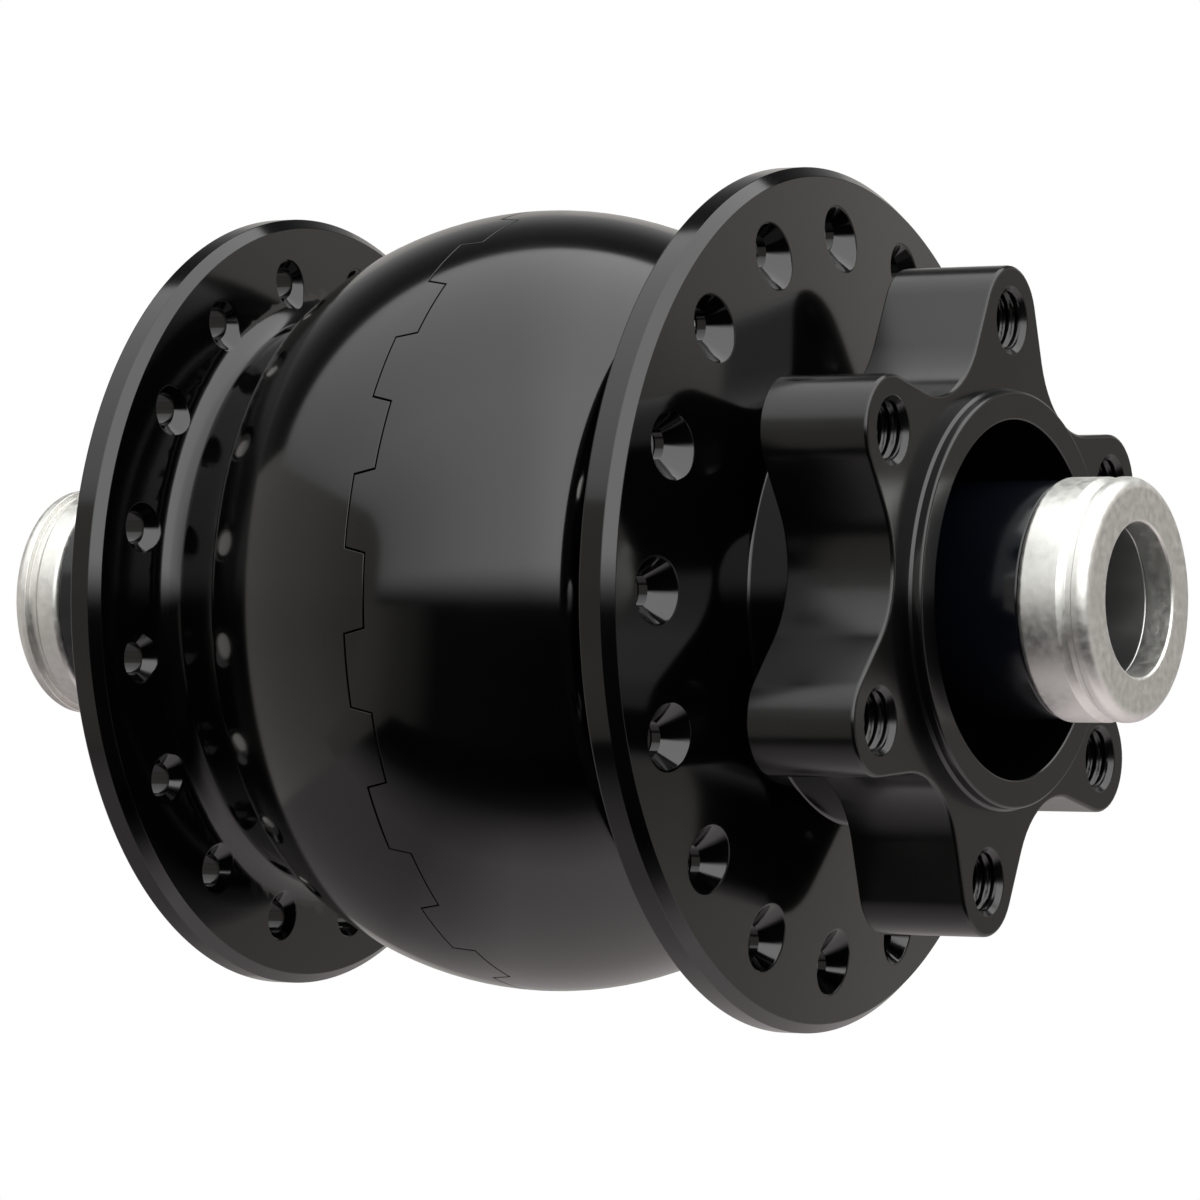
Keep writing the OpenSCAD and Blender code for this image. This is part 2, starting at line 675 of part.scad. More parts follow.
module right_shell() {
    tip = seam_left + seam_gap / 2;
    rim_out = right_out_y(right_rim_r) - rim_bevel;
    bevel_in_r = right_rim_r - rim_bevel;
    mount_turn = shell_turn + lobe_turn;
    points = concat(
        arc([crown_mid_r, barrel_y], crown_r, crown_angle(tip), shoulder_angle, arc_steps),
        arc([shoulder_mid_r, barrel_right - shoulder_r], shoulder_r, shoulder_angle, 90,
            fillet_steps),
        arc([neck_r + neck_root, barrel_right + neck_root], neck_root, 270, 180, fillet_steps),
        arc([neck_corner_r, right_in_y(neck_corner_r) - neck_fillet / cos(dish)], neck_fillet,
            180, 90 - dish, fillet_steps),
        [[right_rim_r - edge_bevel, right_in_y(right_rim_r - edge_bevel)],
            [right_rim_r, right_rim_y + edge_bevel], [right_rim_r, rim_out],
            [bevel_in_r, right_out_y(bevel_in_r)]],
        arc([mount_core_r + mount_fillet, right_out_y(mount_core_r + mount_fillet) + mount_fillet],
            mount_fillet, 270, 180, fillet_steps),
        [[mount_core_r, lobe_back_y + past], [pilot_r, lobe_back_y + past],
            [pilot_r, disc_y + pilot_h - pilot_bevel], [pilot_r - pilot_bevel, disc_y + pilot_h]],
        bearing_bore_points(1, disc_y + pilot_h),
        seal_groove_points(1, seam_right),
        [[seat_r, tip]]
    );
    color("#16171a") difference() {
        union() {
            turned() polygon(points);
            clock(mount_turn, 0, lobe_back_y) linear_extrude(lobe_l) lobe_outline();
        }
        tooth_spaces(1);
        spoke_holes(right_pcd, 0,
            sink_points(-1, right_in_y(right_pcd / 2), dish, [inner_sink_d, inner_sink_h]),
            sink_points(1, right_out_y(right_pcd / 2), dish, [right_sink_d, right_sink_h]));
        for (i = [0:lobe_n - 1])
            drill(mount_turn + i * 360 / lobe_n, bolt_r, lobe_back_y - past, disc_y + past,
                bolt_hole_d);
    }
}

module flux_ring() {
    color("darkgray") ring(yoke_r, seat_r, stator_left, stator_right);
}

module magnets() {
    gap_angle = magnet_gap / yoke_r * 180 / PI;
    color("dimgray") for (i = [0:2 * pole_pairs - 1])
        on_axis() rotate([0, 0, i * pole_pitch]) rotate_extrude(angle = pole_pitch - gap_angle)
            translate([magnet_r, barrel_y - magnet_l / 2]) square([magnet_t, magnet_l]);
}

module seam_o_rings() {
    color("black") for (side = [-1, 1]) {
        foot = side < 0 ? seam_left : seam_right;
        turned() translate([seat_r + seal_ring_t / 2,
            foot + side * (seal_ring_from_seam + seal_ring_t / 2)])
            circle(d = seal_ring_t, $fn = small_fn);
    }
}

axle_tube();
end_cap(-1, left_cap_l);  // left_end_cap
end_cap(1, right_cap_l);  // right_end_cap
cap_o_ring(-1);  // left_cap_o_ring
cap_o_ring(1);  // right_cap_o_ring
spacer_sleeve(-1, left_cap_l);  // left_spacer_sleeve
spacer_sleeve(1, right_cap_l);  // right_spacer_sleeve
inner_race(-1);  // left_inner_race
inner_race(1);  // right_inner_race
stator_spacer(-1);  // left_stator_spacer
stator_spacer(1);  // right_stator_spacer
stator_core();
claw_pole(-1);  // left_claw_pole
claw_pole(1);  // right_claw_pole
coil_bobbin();
coil_winding();
lead_wires();
terminal_ring();
contact_tabs();
ball_cage(-1);  // left_ball_cage
balls(-1);  // left_balls
ball_cage(1);  // right_ball_cage
balls(1);  // right_balls
left_shell();
right_shell();
flux_ring();
magnets();
outer_race(-1);  // left_outer_race
outer_race(1);  // right_outer_race
bearing_seals(-1);  // left_bearing_seals
bearing_seals(1);  // right_bearing_seals
circlip(-1);  // left_circlip
circlip(1);  // right_circlip
dust_cover(-1);  // left_dust_cover
dust_cover(1);  // right_dust_cover
seam_o_rings();
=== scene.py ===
import json
import math

import bmesh
import bpy
import numpy as np
from mathutils import Matrix, Vector

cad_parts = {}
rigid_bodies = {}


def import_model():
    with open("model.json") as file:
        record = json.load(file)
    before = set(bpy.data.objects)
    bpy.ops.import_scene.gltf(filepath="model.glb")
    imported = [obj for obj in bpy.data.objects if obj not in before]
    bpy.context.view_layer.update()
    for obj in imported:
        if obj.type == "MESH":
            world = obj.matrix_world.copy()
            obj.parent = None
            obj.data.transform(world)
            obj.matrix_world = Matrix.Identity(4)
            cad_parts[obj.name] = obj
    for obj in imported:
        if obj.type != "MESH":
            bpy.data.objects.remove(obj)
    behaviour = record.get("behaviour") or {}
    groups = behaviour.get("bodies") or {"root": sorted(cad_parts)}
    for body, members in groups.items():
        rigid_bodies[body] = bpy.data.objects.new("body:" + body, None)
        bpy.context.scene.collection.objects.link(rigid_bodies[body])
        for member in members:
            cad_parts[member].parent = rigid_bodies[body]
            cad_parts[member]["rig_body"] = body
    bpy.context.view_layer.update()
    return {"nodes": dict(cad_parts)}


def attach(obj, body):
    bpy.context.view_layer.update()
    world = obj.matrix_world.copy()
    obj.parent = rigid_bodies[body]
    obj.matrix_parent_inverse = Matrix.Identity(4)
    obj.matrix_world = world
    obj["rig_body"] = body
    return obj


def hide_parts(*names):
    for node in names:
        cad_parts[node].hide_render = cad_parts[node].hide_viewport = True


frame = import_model()

# Camera
# A long lens at the height of the axle, in front of the disc side, as the photograph was taken.
CAMERA_PLACE = Vector((0.41468, 0.24576, -0.00062))
CAMERA_VIEW = Vector((-0.8619, -0.5071, 0.0014)).normalized()
CAMERA_UP = Vector((0.0, 0.0012, 1.0))
camera = bpy.data.objects.new("camera", bpy.data.cameras.new("camera"))
bpy.context.scene.collection.objects.link(camera)
camera.data.lens = 178.1
camera.data.sensor_width = 36.0
across = CAMERA_VIEW.cross(CAMERA_UP).normalized()
upright = across.cross(CAMERA_VIEW).normalized()
aim = Matrix((across, upright, -CAMERA_VIEW)).transposed().to_4x4()
camera.matrix_world = Matrix.Translation(CAMERA_PLACE) @ aim
bpy.context.scene.camera = camera


# Left half of the shell
# Forged and turned aluminium, polished and anodised black: a spoke flange with countersunk holes,
# a deep neck and the left part of the crowned barrel, whose teeth mesh with the right half at the seam.
MM = 0.001
MICROMETRE = 0.000001


class Skin:
    """Collects faces whose corners share their points, with the surface's exact direction at each corner.
    Lengths are in millimetres."""

    def __init__(self):
        self.index = {}
        self.points = []
        self.faces = []
        self.directions = []

    def face(self, corners, directions):
        kept = []
        for corner, direction in zip(corners, directions):
            key = tuple(round(float(value), 4) for value in corner)
            number = self.index.setdefault(key, len(self.points))
            if number == len(self.points):
                self.points.append(key)
            if number not in [already for already, _ in kept]:
                kept.append((number, direction))
        if len(kept) > 2:
            self.faces.append([number for number, _ in kept])
            self.directions.extend(tuple(map(float, direction)) for _, direction in kept)

    def band(self, lower, upper):
        """A closed band from one loop of points to the next, of as many points."""
        count = len(lower[0])
        for i in range(count):
            j = (i + 1) % count
            self.face((lower[0][i], lower[0][j], upper[0][j], upper[0][i]),
                      (lower[1][i], lower[1][j], upper[1][j], upper[1][i]))

    def chain(self, loops):
        for lower, upper in zip(loops, loops[1:]):
            self.band(lower, upper)

    def plate(self, loops, direction):
        """A flat face across the axis, inside the first loop and outside the others."""
        flat = bmesh.new()
        exact = {}
        edges = []
        for loop in loops:
            corners = []
            for point in loop:
                corners.append(flat.verts.new(tuple(point)))
                exact[corners[-1]] = point
            edges += [flat.edges.new((corners[i - 1], corners[i])) for i in range(len(corners))]
        filled = bmesh.ops.triangle_fill(flat, use_beauty=True, use_dissolve=False, edges=edges)
        for face in filled["geom"]:
            if isinstance(face, bmesh.types.BMFace):
                corners = [exact[vert] for vert in face.verts]
                normal_y = np.cross(corners[1] - corners[0], corners[2] - corners[0])[1]
                if normal_y * direction[1] < 0:
                    corners.reverse()
                self.face(corners, [direction] * 3)
        flat.free()


def ring(clock, r, y, facing):
    """A loop round the axis: clock runs from +Z towards +X, facing from outwards towards +Y."""
    clock, r, y, facing = np.broadcast_arrays(clock, r, y, facing)
    points = np.stack([r * np.sin(clock), y, r * np.cos(clock)], -1)
    outwards = np.cos(facing)
    directions = np.stack([outwards * np.sin(clock), np.sin(facing), outwards * np.cos(clock)], -1)
    return points, directions


def arc(middle_r, middle_y, radius, first, last, steps, hollow=False):
    """Rows of a round edge or fillet of the profile, as (r, y, facing)."""
    rows = []
    for k in range(steps + 1):
        a = math.radians(first + (last - first) * k / steps)
        rows.append((middle_r + radius * math.cos(a), middle_y + radius * math.sin(a),
                     a + (math.pi if hollow else 0)))
    return rows


def turned(corners, steps=3):
    """Rows of a turned profile, as (r, y, facing). A corner may have a third number, its rounding."""

    def facing(here, there):
        return math.atan2(here[0] - there[0], there[1] - here[1])

    rows = [(corners[0][0], corners[0][1], facing(corners[0], corners[1]))]
    for before, here, after in zip(corners, corners[1:], corners[2:]):
        a0 = facing(before, here)
        turn = (facing(here, after) - a0 + math.pi) % math.tau - math.pi
        rounding = here[2] if len(here) > 2 else 0
        side = math.copysign(rounding, turn)
        back = rounding * math.tan(abs(turn) / 2)
        middle_r = here[0] + back * math.sin(a0) - side * math.cos(a0)
        middle_y = here[1] - back * math.cos(a0) - side * math.sin(a0)
        for k in range(steps + 1 if rounding else 2):
            a = a0 + turn * k / (steps if rounding else 1)
            rows.append((middle_r + side * math.cos(a), middle_y + side * math.sin(a), a))
    rows.append((corners[-1][0], corners[-1][1], facing(corners[-2], corners[-1])))
    return rows


def mirrored(rows):
    """The same profile at the other end of the hub."""
    return [(r, -y, -facing) for r, y, facing in reversed(rows)]


def lathe(skin, clock, rows):
    skin.chain([ring(clock, *row) for row in rows])


def finished(skin, name, node, material):
    """The piece of a skin: it moves with the node's body, gets the given material and stands for the node,
    which it hides.
    """
    mesh = bpy.data.meshes.new(name)
    mesh.from_pydata([tuple(value * MM for value in point) for point in skin.points], [], skin.faces)
    mesh.polygons.foreach_set("use_smooth", [True] * len(mesh.polygons))
    mesh.materials.append(material)
    mesh.normals_split_custom_set(skin.directions)
    piece = bpy.data.objects.new(name, mesh)
    bpy.context.scene.collection.objects.link(piece)
    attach(piece, frame["nodes"][node]["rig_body"])
    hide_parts(node)
    return piece


def surface(name, dark, light, roughness, metallic=0.0, cloud=120.0, grain=3000.0, grain_height=0.4,
            marks=0.0, marks_height=0.0):
    """A procedural finish: cloudy colour and roughness, a fine grain, and marks of turning round the axis.
    Heights are in micrometres, and marks is their number in a metre of the profile."""
    material = bpy.data.materials.new(name)
    material.use_nodes = True
    tree = material.node_tree
    shader = tree.nodes["Principled BSDF"]
    shader.inputs["Metallic"].default_value = metallic
    shader.inputs["IOR"].default_value = 1.5
    place = tree.nodes.new("ShaderNodeTexCoord")
    clouds = tree.nodes.new("ShaderNodeTexNoise")
    clouds.inputs["Scale"].default_value = cloud
    clouds.inputs["Detail"].default_value = 4.0
    tree.links.new(place.outputs["Object"], clouds.inputs["Vector"])
    tint = tree.nodes.new("ShaderNodeMix")
    tint.data_type = "RGBA"
    tint.inputs["A"].default_value = (*dark, 1.0)
    tint.inputs["B"].default_value = (*light, 1.0)
    tree.links.new(clouds.outputs["Fac"], tint.inputs["Factor"])
    tree.links.new(tint.outputs["Result"], shader.inputs["Base Color"])
    fine = tree.nodes.new("ShaderNodeTexNoise")
    fine.inputs["Scale"].default_value = grain
    fine.inputs["Detail"].default_value = 3.0
    tree.links.new(place.outputs["Object"], fine.inputs["Vector"])
    wear = tree.nodes.new("ShaderNodeMapRange")
    wear.inputs["From Min"].default_value = 0.3
    wear.inputs["From Max"].default_value = 0.7
    wear.inputs["To Min"].default_value = roughness[0]
    wear.inputs["To Max"].default_value = roughness[1]
    tree.links.new(clouds.outputs["Fac"], wear.inputs["Value"])
    tree.links.new(wear.outputs["Result"], shader.inputs["Roughness"])
    relief = tree.nodes.new("ShaderNodeBump")
    relief.inputs["Strength"].default_value = 1.0
    relief.inputs["Distance"].default_value = grain_height * MICROMETRE
    tree.links.new(fine.outputs["Fac"], relief.inputs["Height"])
    last = relief
    if marks:
        split = tree.nodes.new("ShaderNodeSeparateXYZ")
        tree.links.new(place.outputs["Object"], split.inputs["Vector"])
        x2 = tree.nodes.new("ShaderNodeMath")
        x2.operation = "MULTIPLY"
        tree.links.new(split.outputs["X"], x2.inputs[0])
        tree.links.new(split.outputs["X"], x2.inputs[1])
        r2 = tree.nodes.new("ShaderNodeMath")
        r2.operation = "MULTIPLY_ADD"
        tree.links.new(split.outputs["Z"], r2.inputs[0])
        tree.links.new(split.outputs["Z"], r2.inputs[1])
        tree.links.new(x2.outputs["Value"], r2.inputs[2])
        r = tree.nodes.new("ShaderNodeMath")
        r.operation = "SQRT"
        tree.links.new(r2.outputs["Value"], r.inputs[0])
        along = tree.nodes.new("ShaderNodeMath")
        along.operation = "ADD"
        tree.links.new(r.outputs["Value"], along.inputs[0])
        tree.links.new(split.outputs["Y"], along.inputs[1])
        lines = tree.nodes.new("ShaderNodeTexNoise")
        lines.noise_dimensions = "1D"
        lines.inputs["Scale"].default_value = marks
        lines.inputs["Detail"].default_value = 5.0
        lines.inputs["Roughness"].default_value = 0.65
        tree.links.new(along.outputs["Value"], lines.inputs["W"])
        last = tree.nodes.new("ShaderNodeBump")
        last.inputs["Strength"].default_value = 1.0
        last.inputs["Distance"].default_value = marks_height * MICROMETRE
        tree.links.new(lines.outputs["Fac"], last.inputs["Height"])
        tree.links.new(relief.outputs["Normal"], last.inputs["Normal"])
    tree.links.new(last.outputs["Normal"], shader.inputs["Normal"])
    return material


black = surface("black_anodised", dark=(0.0004, 0.0004, 0.0005), light=(0.0010, 0.0010, 0.0010),
                roughness=(0.09, 0.13), cloud=90.0, grain=2500.0, grain_height=0.12,
                marks=1500.0, marks_height=0.10)

BARREL_R = 31.7
BARREL_Y = -1.85
BARREL_HALF = 17.15
CROWN_R = 28.5
CROWN_MID_R = BARREL_R - CROWN_R
CROWN_STEPS = 12

# The shoulder's circle touches the crown's circle from inside.
SHOULDER_R = 3.0
SHOULDER_MID = BARREL_HALF - SHOULDER_R
SHOULDER_MID_R = CROWN_MID_R + math.sqrt((CROWN_R - SHOULDER_R) ** 2 - SHOULDER_MID ** 2)
SHOULDER_ANGLE = math.degrees(math.asin(SHOULDER_MID / (CROWN_R - SHOULDER_R)))
CROWN_END = CROWN_R * SHOULDER_MID / (CROWN_R - SHOULDER_R)

# TOOTH_TIP and TOOTH_BASE are half of a tooth's width, as an angle, and COLUMNS is the number of columns
# on each half of a tip or base.
TEETH = 16
PITCH = math.tau / TEETH
TOOTH_TIP = math.radians(5.108)
TOOTH_BASE = math.radians(5.919)
TOOTH_H = 1.8
COLUMNS = 4
LEFT_TOOTH = math.radians(-1.4)
FLANK_SLANT = math.atan2((TOOTH_BASE - TOOTH_TIP) * BARREL_R, TOOTH_H)
CORNER_SHARE = (1 - math.sin(FLANK_SLANT)) / math.cos(FLANK_SLANT)
SEAM_Y = -1.55
SEAM_GAP = 0.12
SEAM_ROUND = 0.05
SEAM_ZONE = 1.75
SEAT_R = 27.2


def columns(tooth, doubled=False):
    """Clock angles of the shell's columns, tooth by tooth. Doubled columns have the corners of the teeth
    twice, once for each direction of the seam's wall."""
    half = [TOOTH_TIP * k / COLUMNS for k in range(COLUMNS + 1)]
    if doubled:
        half += [TOOTH_TIP, TOOTH_BASE]
    half += [TOOTH_BASE + (PITCH / 2 - TOOTH_BASE) * k / COLUMNS for k in range(COLUMNS + 1)]
    whole = [-value for value in half[:0:-1]] + half[:-1]
    return np.array([tooth + PITCH * k + value for k in range(TEETH) for value in whole])


def seam(tooth, side):
    """Clock angle and y of the seam's edge at each doubled column, and the column's number counted from the
    middle of its tooth. side is 1 where the half ends towards +Y, and -1 where it ends towards -Y."""
    clock = columns(tooth, doubled=True)
    per_tooth = len(clock) // TEETH
    number = abs(np.arange(len(clock)) % per_tooth - per_tooth // 2)
    tip_y = SEAM_Y + side * (TOOTH_H - SEAM_GAP) / 2
    base_y = SEAM_Y - side * (TOOTH_H + SEAM_GAP) / 2
    return clock, np.where(number <= COLUMNS + 1, tip_y, base_y), number


def crown_ring(clock, y, depth=0.0):
    """A loop on the crown, or as deep under it as depth says."""
    slope = (y - BARREL_Y) / CROWN_R
    return ring(clock, CROWN_MID_R + CROWN_R * np.sqrt(1 - slope ** 2) - depth, y, np.arcsin(slope))


def crown_loops(tooth, side):
    """Loops from the shoulder along the crown, over the seam's rounded edge and down its wall."""
    clock, edge_y, number = seam(tooth, side)
    hand = np.sign((clock - tooth + PITCH / 2) % PITCH - PITCH / 2)
    on_flank = (number == COLUMNS + 1) | (number == COLUMNS + 2)
    sideways = np.where(on_flank, hand * math.cos(FLANK_SLANT), 0.0)
    forwards = np.where(on_flank, math.sin(FLANK_SLANT), 1.0) * side
    at_corner = (number >= COLUMNS) & (number <= COLUMNS + 3)
    drawn_in = np.where(at_corner, hand * CORNER_SHARE / BARREL_R, 0.0)

    near_y = BARREL_Y - side * SEAM_ZONE
    end_y = BARREL_Y - side * CROWN_END
    loops = [crown_ring(clock, end_y + (near_y - end_y) * k / CROWN_STEPS) for k in range(CROWN_STEPS + 1)]
    loops.append(crown_ring(clock - drawn_in * SEAM_ROUND / 2, (near_y + edge_y - side * SEAM_ROUND) / 2))

    for turn in (0.0, 30.0, 60.0, 90.0):
        a = math.radians(turn)
        inset = SEAM_ROUND * (1 - math.sin(a))
        moved = clock - drawn_in * inset
        points, crown = crown_ring(moved, edge_y - side * inset, SEAM_ROUND * (1 - math.cos(a)))
        wall = np.stack([np.cos(moved) * sideways, forwards, -np.sin(moved) * sideways], -1)
        directions = crown * math.cos(a) + wall * math.sin(a)
        loops.append((points, directions / np.linalg.norm(directions, axis=1)[:, None]))
    foot, _ = ring(clock, SEAT_R, edge_y, 0.0)
    loops.append((foot, loops[-1][1]))
    return loops


SPOKE_BORE = 1.35


def drilled(skin, clock, pitch_r, faces, lip=0.1):
    """A ring of spoke holes with the two faces round them, each countersunk. A face is given by the way it
    looks along the axis, its zone in r, its shape as a function from r to (y, facing), and its countersinks
    as (radius, depth, greatest radius)."""
    side_steps = 6
    per_hole = len(clock) // TEETH
    for k in range(TEETH):
        start = per_hole // 2 + k * per_hole
        angles = clock[[(start + i) % len(clock) for i in range(per_hole + 1)]].copy()
        for i in range(1, len(angles)):
            if angles[i] < angles[i - 1]:
                angles[i:] += math.tau
        middle = (angles[0] + angles[-1]) / 2
        centre = np.array([pitch_r * math.sin(middle), pitch_r * math.cos(middle)])
        out = centre / pitch_r
        on = np.array([out[1], -out[0]])

        def outline(zone):
            inner_r, outer_r = zone
            across = [(outer_r - inner_r) * i / side_steps for i in range(side_steps)]
            edge = [(outer_r, a) for a in angles[:-1]]
            edge += [(outer_r - step, angles[-1]) for step in across]
            edge += [(inner_r, a) for a in angles[:0:-1]]
            edge += [(inner_r + step, angles[0]) for step in across]
            return np.array([(r * math.sin(a), r * math.cos(a)) for r, a in edge])

        offset = outline(faces[0][1]) - centre
        around = np.arctan2(offset @ on, offset @ out)
        spokes = np.cos(around)[:, None] * out + np.sin(around)[:, None] * on
        inward = np.stack([-spokes[:, 0], np.zeros(len(around)), -spokes[:, 1]], -1)
        sides = []
        for up, zone, shape, (sink_r, sink_depth, widest) in faces:
            widen = (sink_r - SPOKE_BORE) / sink_depth
            land_y = shape(np.array([pitch_r]))[0][0] - up * sink_depth

            def on_face(flat):
                r = np.hypot(flat[:, 0], flat[:, 1])
                y, facing = shape(r)
                return ring(np.arctan2(flat[:, 0], flat[:, 1]), r, y, facing)

            # Where the cone meets the face is found by repeated approach.
            rim = np.full(len(around), sink_r)
            for _ in range(30):
                y = on_face(centre + spokes * rim[:, None])[0][:, 1]
                rim = np.minimum(SPOKE_BORE + widen * up * (y - land_y), widest)
            border = outline(zone)
            lip_flat = centre + spokes * (rim + lip)[:, None]
            loops = [on_face(border + (lip_flat - border) * share) for share in (0.0, 0.3, 0.6, 0.85, 1.0)]
            rim_points = on_face(centre + spokes * rim[:, None])[0]
            cone_flat = centre + spokes * (rim - lip)[:, None]
            cone_y = land_y + up * (rim - lip - SPOKE_BORE) / widen
            cone_points = np.stack([cone_flat[:, 0], cone_y, cone_flat[:, 1]], -1)
            tilt = math.atan(widen)
            cone_directions = inward * math.cos(tilt) + np.array([0.0, up * math.sin(tilt), 0.0])
            face_points, face_directions = loops[-1]
            for share in (0.34, 0.67, 1.0):
                points = ((1 - share) ** 2 * face_points + 2 * share * (1 - share) * rim_points
                          + share ** 2 * cone_points)
                directions = (1 - share) * face_directions + share * cone_directions
                loops.append((points, directions / np.linalg.norm(directions, axis=1)[:, None]))
            bore_flat = centre + spokes * SPOKE_BORE
            land = np.stack([bore_flat[:, 0], np.full(len(around), land_y), bore_flat[:, 1]], -1)
            sides.append(loops + [(land, cone_directions), (land, inward)])
        skin.chain(sides[0] + sides[1][::-1])


def flat_face(y0, r0, slope, up):
    """The shape of a conical face: it passes through (r0, y0)."""
    return lambda r: (y0 + slope * (r - r0), np.full(len(r), math.atan2(up, -up * slope)))


NECK_R = SHOULDER_MID_R - 1.0
NECK_ROOT = 0.9
NECK_FILLET = 2.15
FILLET_MID_R = NECK_R + NECK_FILLET
RIM_BEVEL = 0.75
LEFT_RIM_R = 31.8
LEFT_OUT_Y = -28.1
LEFT_IN_Y = -25.6
LEFT_DISH = math.radians(5.0)


def left_line(r):
    """The straight part of the left flange's inner face."""
    return LEFT_IN_Y + (LEFT_RIM_R - RIM_BEVEL - r) * math.tan(LEFT_DISH)


LEFT_FILLET_Y = left_line(FILLET_MID_R) + NECK_FILLET / math.cos(LEFT_DISH)


def left_inner(r):
    """The left flange's inner face, with the beginning of the fillet to the neck."""
    r = np.asarray(r, dtype=float)
    foot = FILLET_MID_R - NECK_FILLET * math.sin(LEFT_DISH)
    across = np.clip((FILLET_MID_R - r) / NECK_FILLET, 0.0, 1.0)
    y = np.where(r < foot, LEFT_FILLET_Y - NECK_FILLET * np.sqrt(1 - across ** 2), left_line(r))
    facing = np.where(r < foot, math.pi / 2 - np.arcsin(across), math.pi / 2 - LEFT_DISH)
    return y, facing


# SEAL_FROM is counted from the seam, the two half widths from the middle of the barrel, and the bearing's
# width from the end wall.
SEAL_R = 28.1
SEAL_FROM = 5.4
SEAL_W = 0.9
SEAT_HALF = 11.0
CAVITY_R = 24.0
CAVITY_HALF = 13.8
EYE_R = 12.5
BEARING_R = 14.0
BEARING_W = 7.05
CIRCLIP_R = 14.65
CIRCLIP_W = 1.3


def seat_loops(tooth, side):
    """Loops of the flux ring's seat, from the teeth to the groove of the seam's O-ring."""
    clock, edge_y, _ = seam(tooth, side)
    return [ring(clock, SEAT_R, y, math.pi) for y in (edge_y, SEAM_Y - side * SEAL_FROM)]


def inside(side, wall_y):
    """Corners of a half's inside, from the groove of the seam's O-ring over the flux ring's seat, the cavity
    and the eye of the end wall to the bearing's bore with the groove of the retaining ring."""
    seal_y = SEAM_Y - side * SEAL_FROM
    seal_end = seal_y - side * SEAL_W
    seat_end = BARREL_Y - side * SEAT_HALF
    cavity_end = BARREL_Y - side * CAVITY_HALF
    circlip_y = wall_y - side * BEARING_W
    circlip_end = circlip_y - side * CIRCLIP_W
    return [(SEAT_R, seal_y), (SEAL_R, seal_y), (SEAL_R, seal_end), (SEAT_R, seal_end), (SEAT_R, seat_end),
            (CAVITY_R, seat_end), (CAVITY_R, cavity_end), (EYE_R, cavity_end), (EYE_R, wall_y),
            (BEARING_R, wall_y), (BEARING_R, circlip_y), (CIRCLIP_R, circlip_y), (CIRCLIP_R, circlip_end),
            (BEARING_R, circlip_end)]


BOSS_R = 17.5
BOSS_Y = -33.0
BOSS_FILLET = 1.0
MOUTH_CHAMFER = 0.2
LEFT_WALL_Y = -22.5
LEFT_SPOKE_R = 26.75
LEFT_ZONE_OUT_R = 29.95
LEFT_INNER_ZONE_R = 24.2
LEFT_OUTER_ZONE_R = 23.55
LEFT_INNER_SINK = (2.0, 0.65, 2.24)
LEFT_OUTER_SINK = (1.75, 0.4, 1.8)
LEFT_FILLET_START = 226

left = Skin()
left_clock = columns(LEFT_TOOTH)
lathe(left, left_clock, turned([(BEARING_R + MOUTH_CHAMFER, BOSS_Y), (BOSS_R, BOSS_Y, 0.2),
                                (BOSS_R, LEFT_OUT_Y - BOSS_FILLET)])
      + arc(BOSS_R + BOSS_FILLET, LEFT_OUT_Y - BOSS_FILLET, BOSS_FILLET, 180, 90, 5, hollow=True)
      + [(LEFT_OUTER_ZONE_R, LEFT_OUT_Y, -math.pi / 2)])
lathe(left, left_clock, turned([(LEFT_ZONE_OUT_R, LEFT_OUT_Y), (LEFT_RIM_R, LEFT_OUT_Y, 0.2),
                                (LEFT_RIM_R, LEFT_IN_Y - RIM_BEVEL, 0.15),
                                (LEFT_RIM_R - RIM_BEVEL, LEFT_IN_Y, 0.15),
                                (LEFT_ZONE_OUT_R, left_line(LEFT_ZONE_OUT_R))], steps=4))
drilled(left, left_clock, LEFT_SPOKE_R,
        ((1, (LEFT_INNER_ZONE_R, LEFT_ZONE_OUT_R), left_inner, LEFT_INNER_SINK),
         (-1, (LEFT_OUTER_ZONE_R, LEFT_ZONE_OUT_R), flat_face(LEFT_OUT_Y, 0.0, 0.0, -1), LEFT_OUTER_SINK)))
lathe(left, left_clock, [(LEFT_INNER_ZONE_R, *map(float, left_inner(LEFT_INNER_ZONE_R)))]
      + arc(FILLET_MID_R, LEFT_FILLET_Y, NECK_FILLET, LEFT_FILLET_START, 180, 12, hollow=True)
      + arc(NECK_R + NECK_ROOT, BARREL_Y - BARREL_HALF - NECK_ROOT, NECK_ROOT, 180, 90, 10, hollow=True)
      + arc(SHOULDER_MID_R, BARREL_Y - SHOULDER_MID, SHOULDER_R, -90, -SHOULDER_ANGLE, 8))
left.chain(crown_loops(LEFT_TOOTH, 1))
left.chain(seat_loops(LEFT_TOOTH, 1))
lathe(left, left_clock, turned(inside(1, LEFT_WALL_Y) + [(BEARING_R, BOSS_Y + MOUTH_CHAMFER),
                                                         (BEARING_R + MOUTH_CHAMFER, BOSS_Y)]))
finished(left, "left_shell_turned", "left_shell", black)


# Right half of the shell
# The same black aluminium: the right part of the barrel, a neck, a dished spoke flange, and in front of it
# the six lobes that carry the brake disc, with threaded holes and a ring that centres the disc.
RIGHT_TOOTH = LEFT_TOOTH + PITCH / 2
RIGHT_RIM_R = 34.3
RIGHT_IN_Y = 20.0
RIGHT_THICK = 2.75
RIGHT_DISH = math.radians(8.5)
RIGHT_SLOPE = -math.tan(RIGHT_DISH)
RIGHT_WALL_Y = 16.0
RIGHT_SPOKE_R = 29.0
RIGHT_ZONE_OUT_R = 32.4
RIGHT_INNER_ZONE_R = 26.2
RIGHT_OUTER_ZONE_R = 25.6
RIGHT_INNER_SINK = (2.0, 0.65, 2.45)
RIGHT_OUTER_SINK = (2.6, 1.35, 3.1)


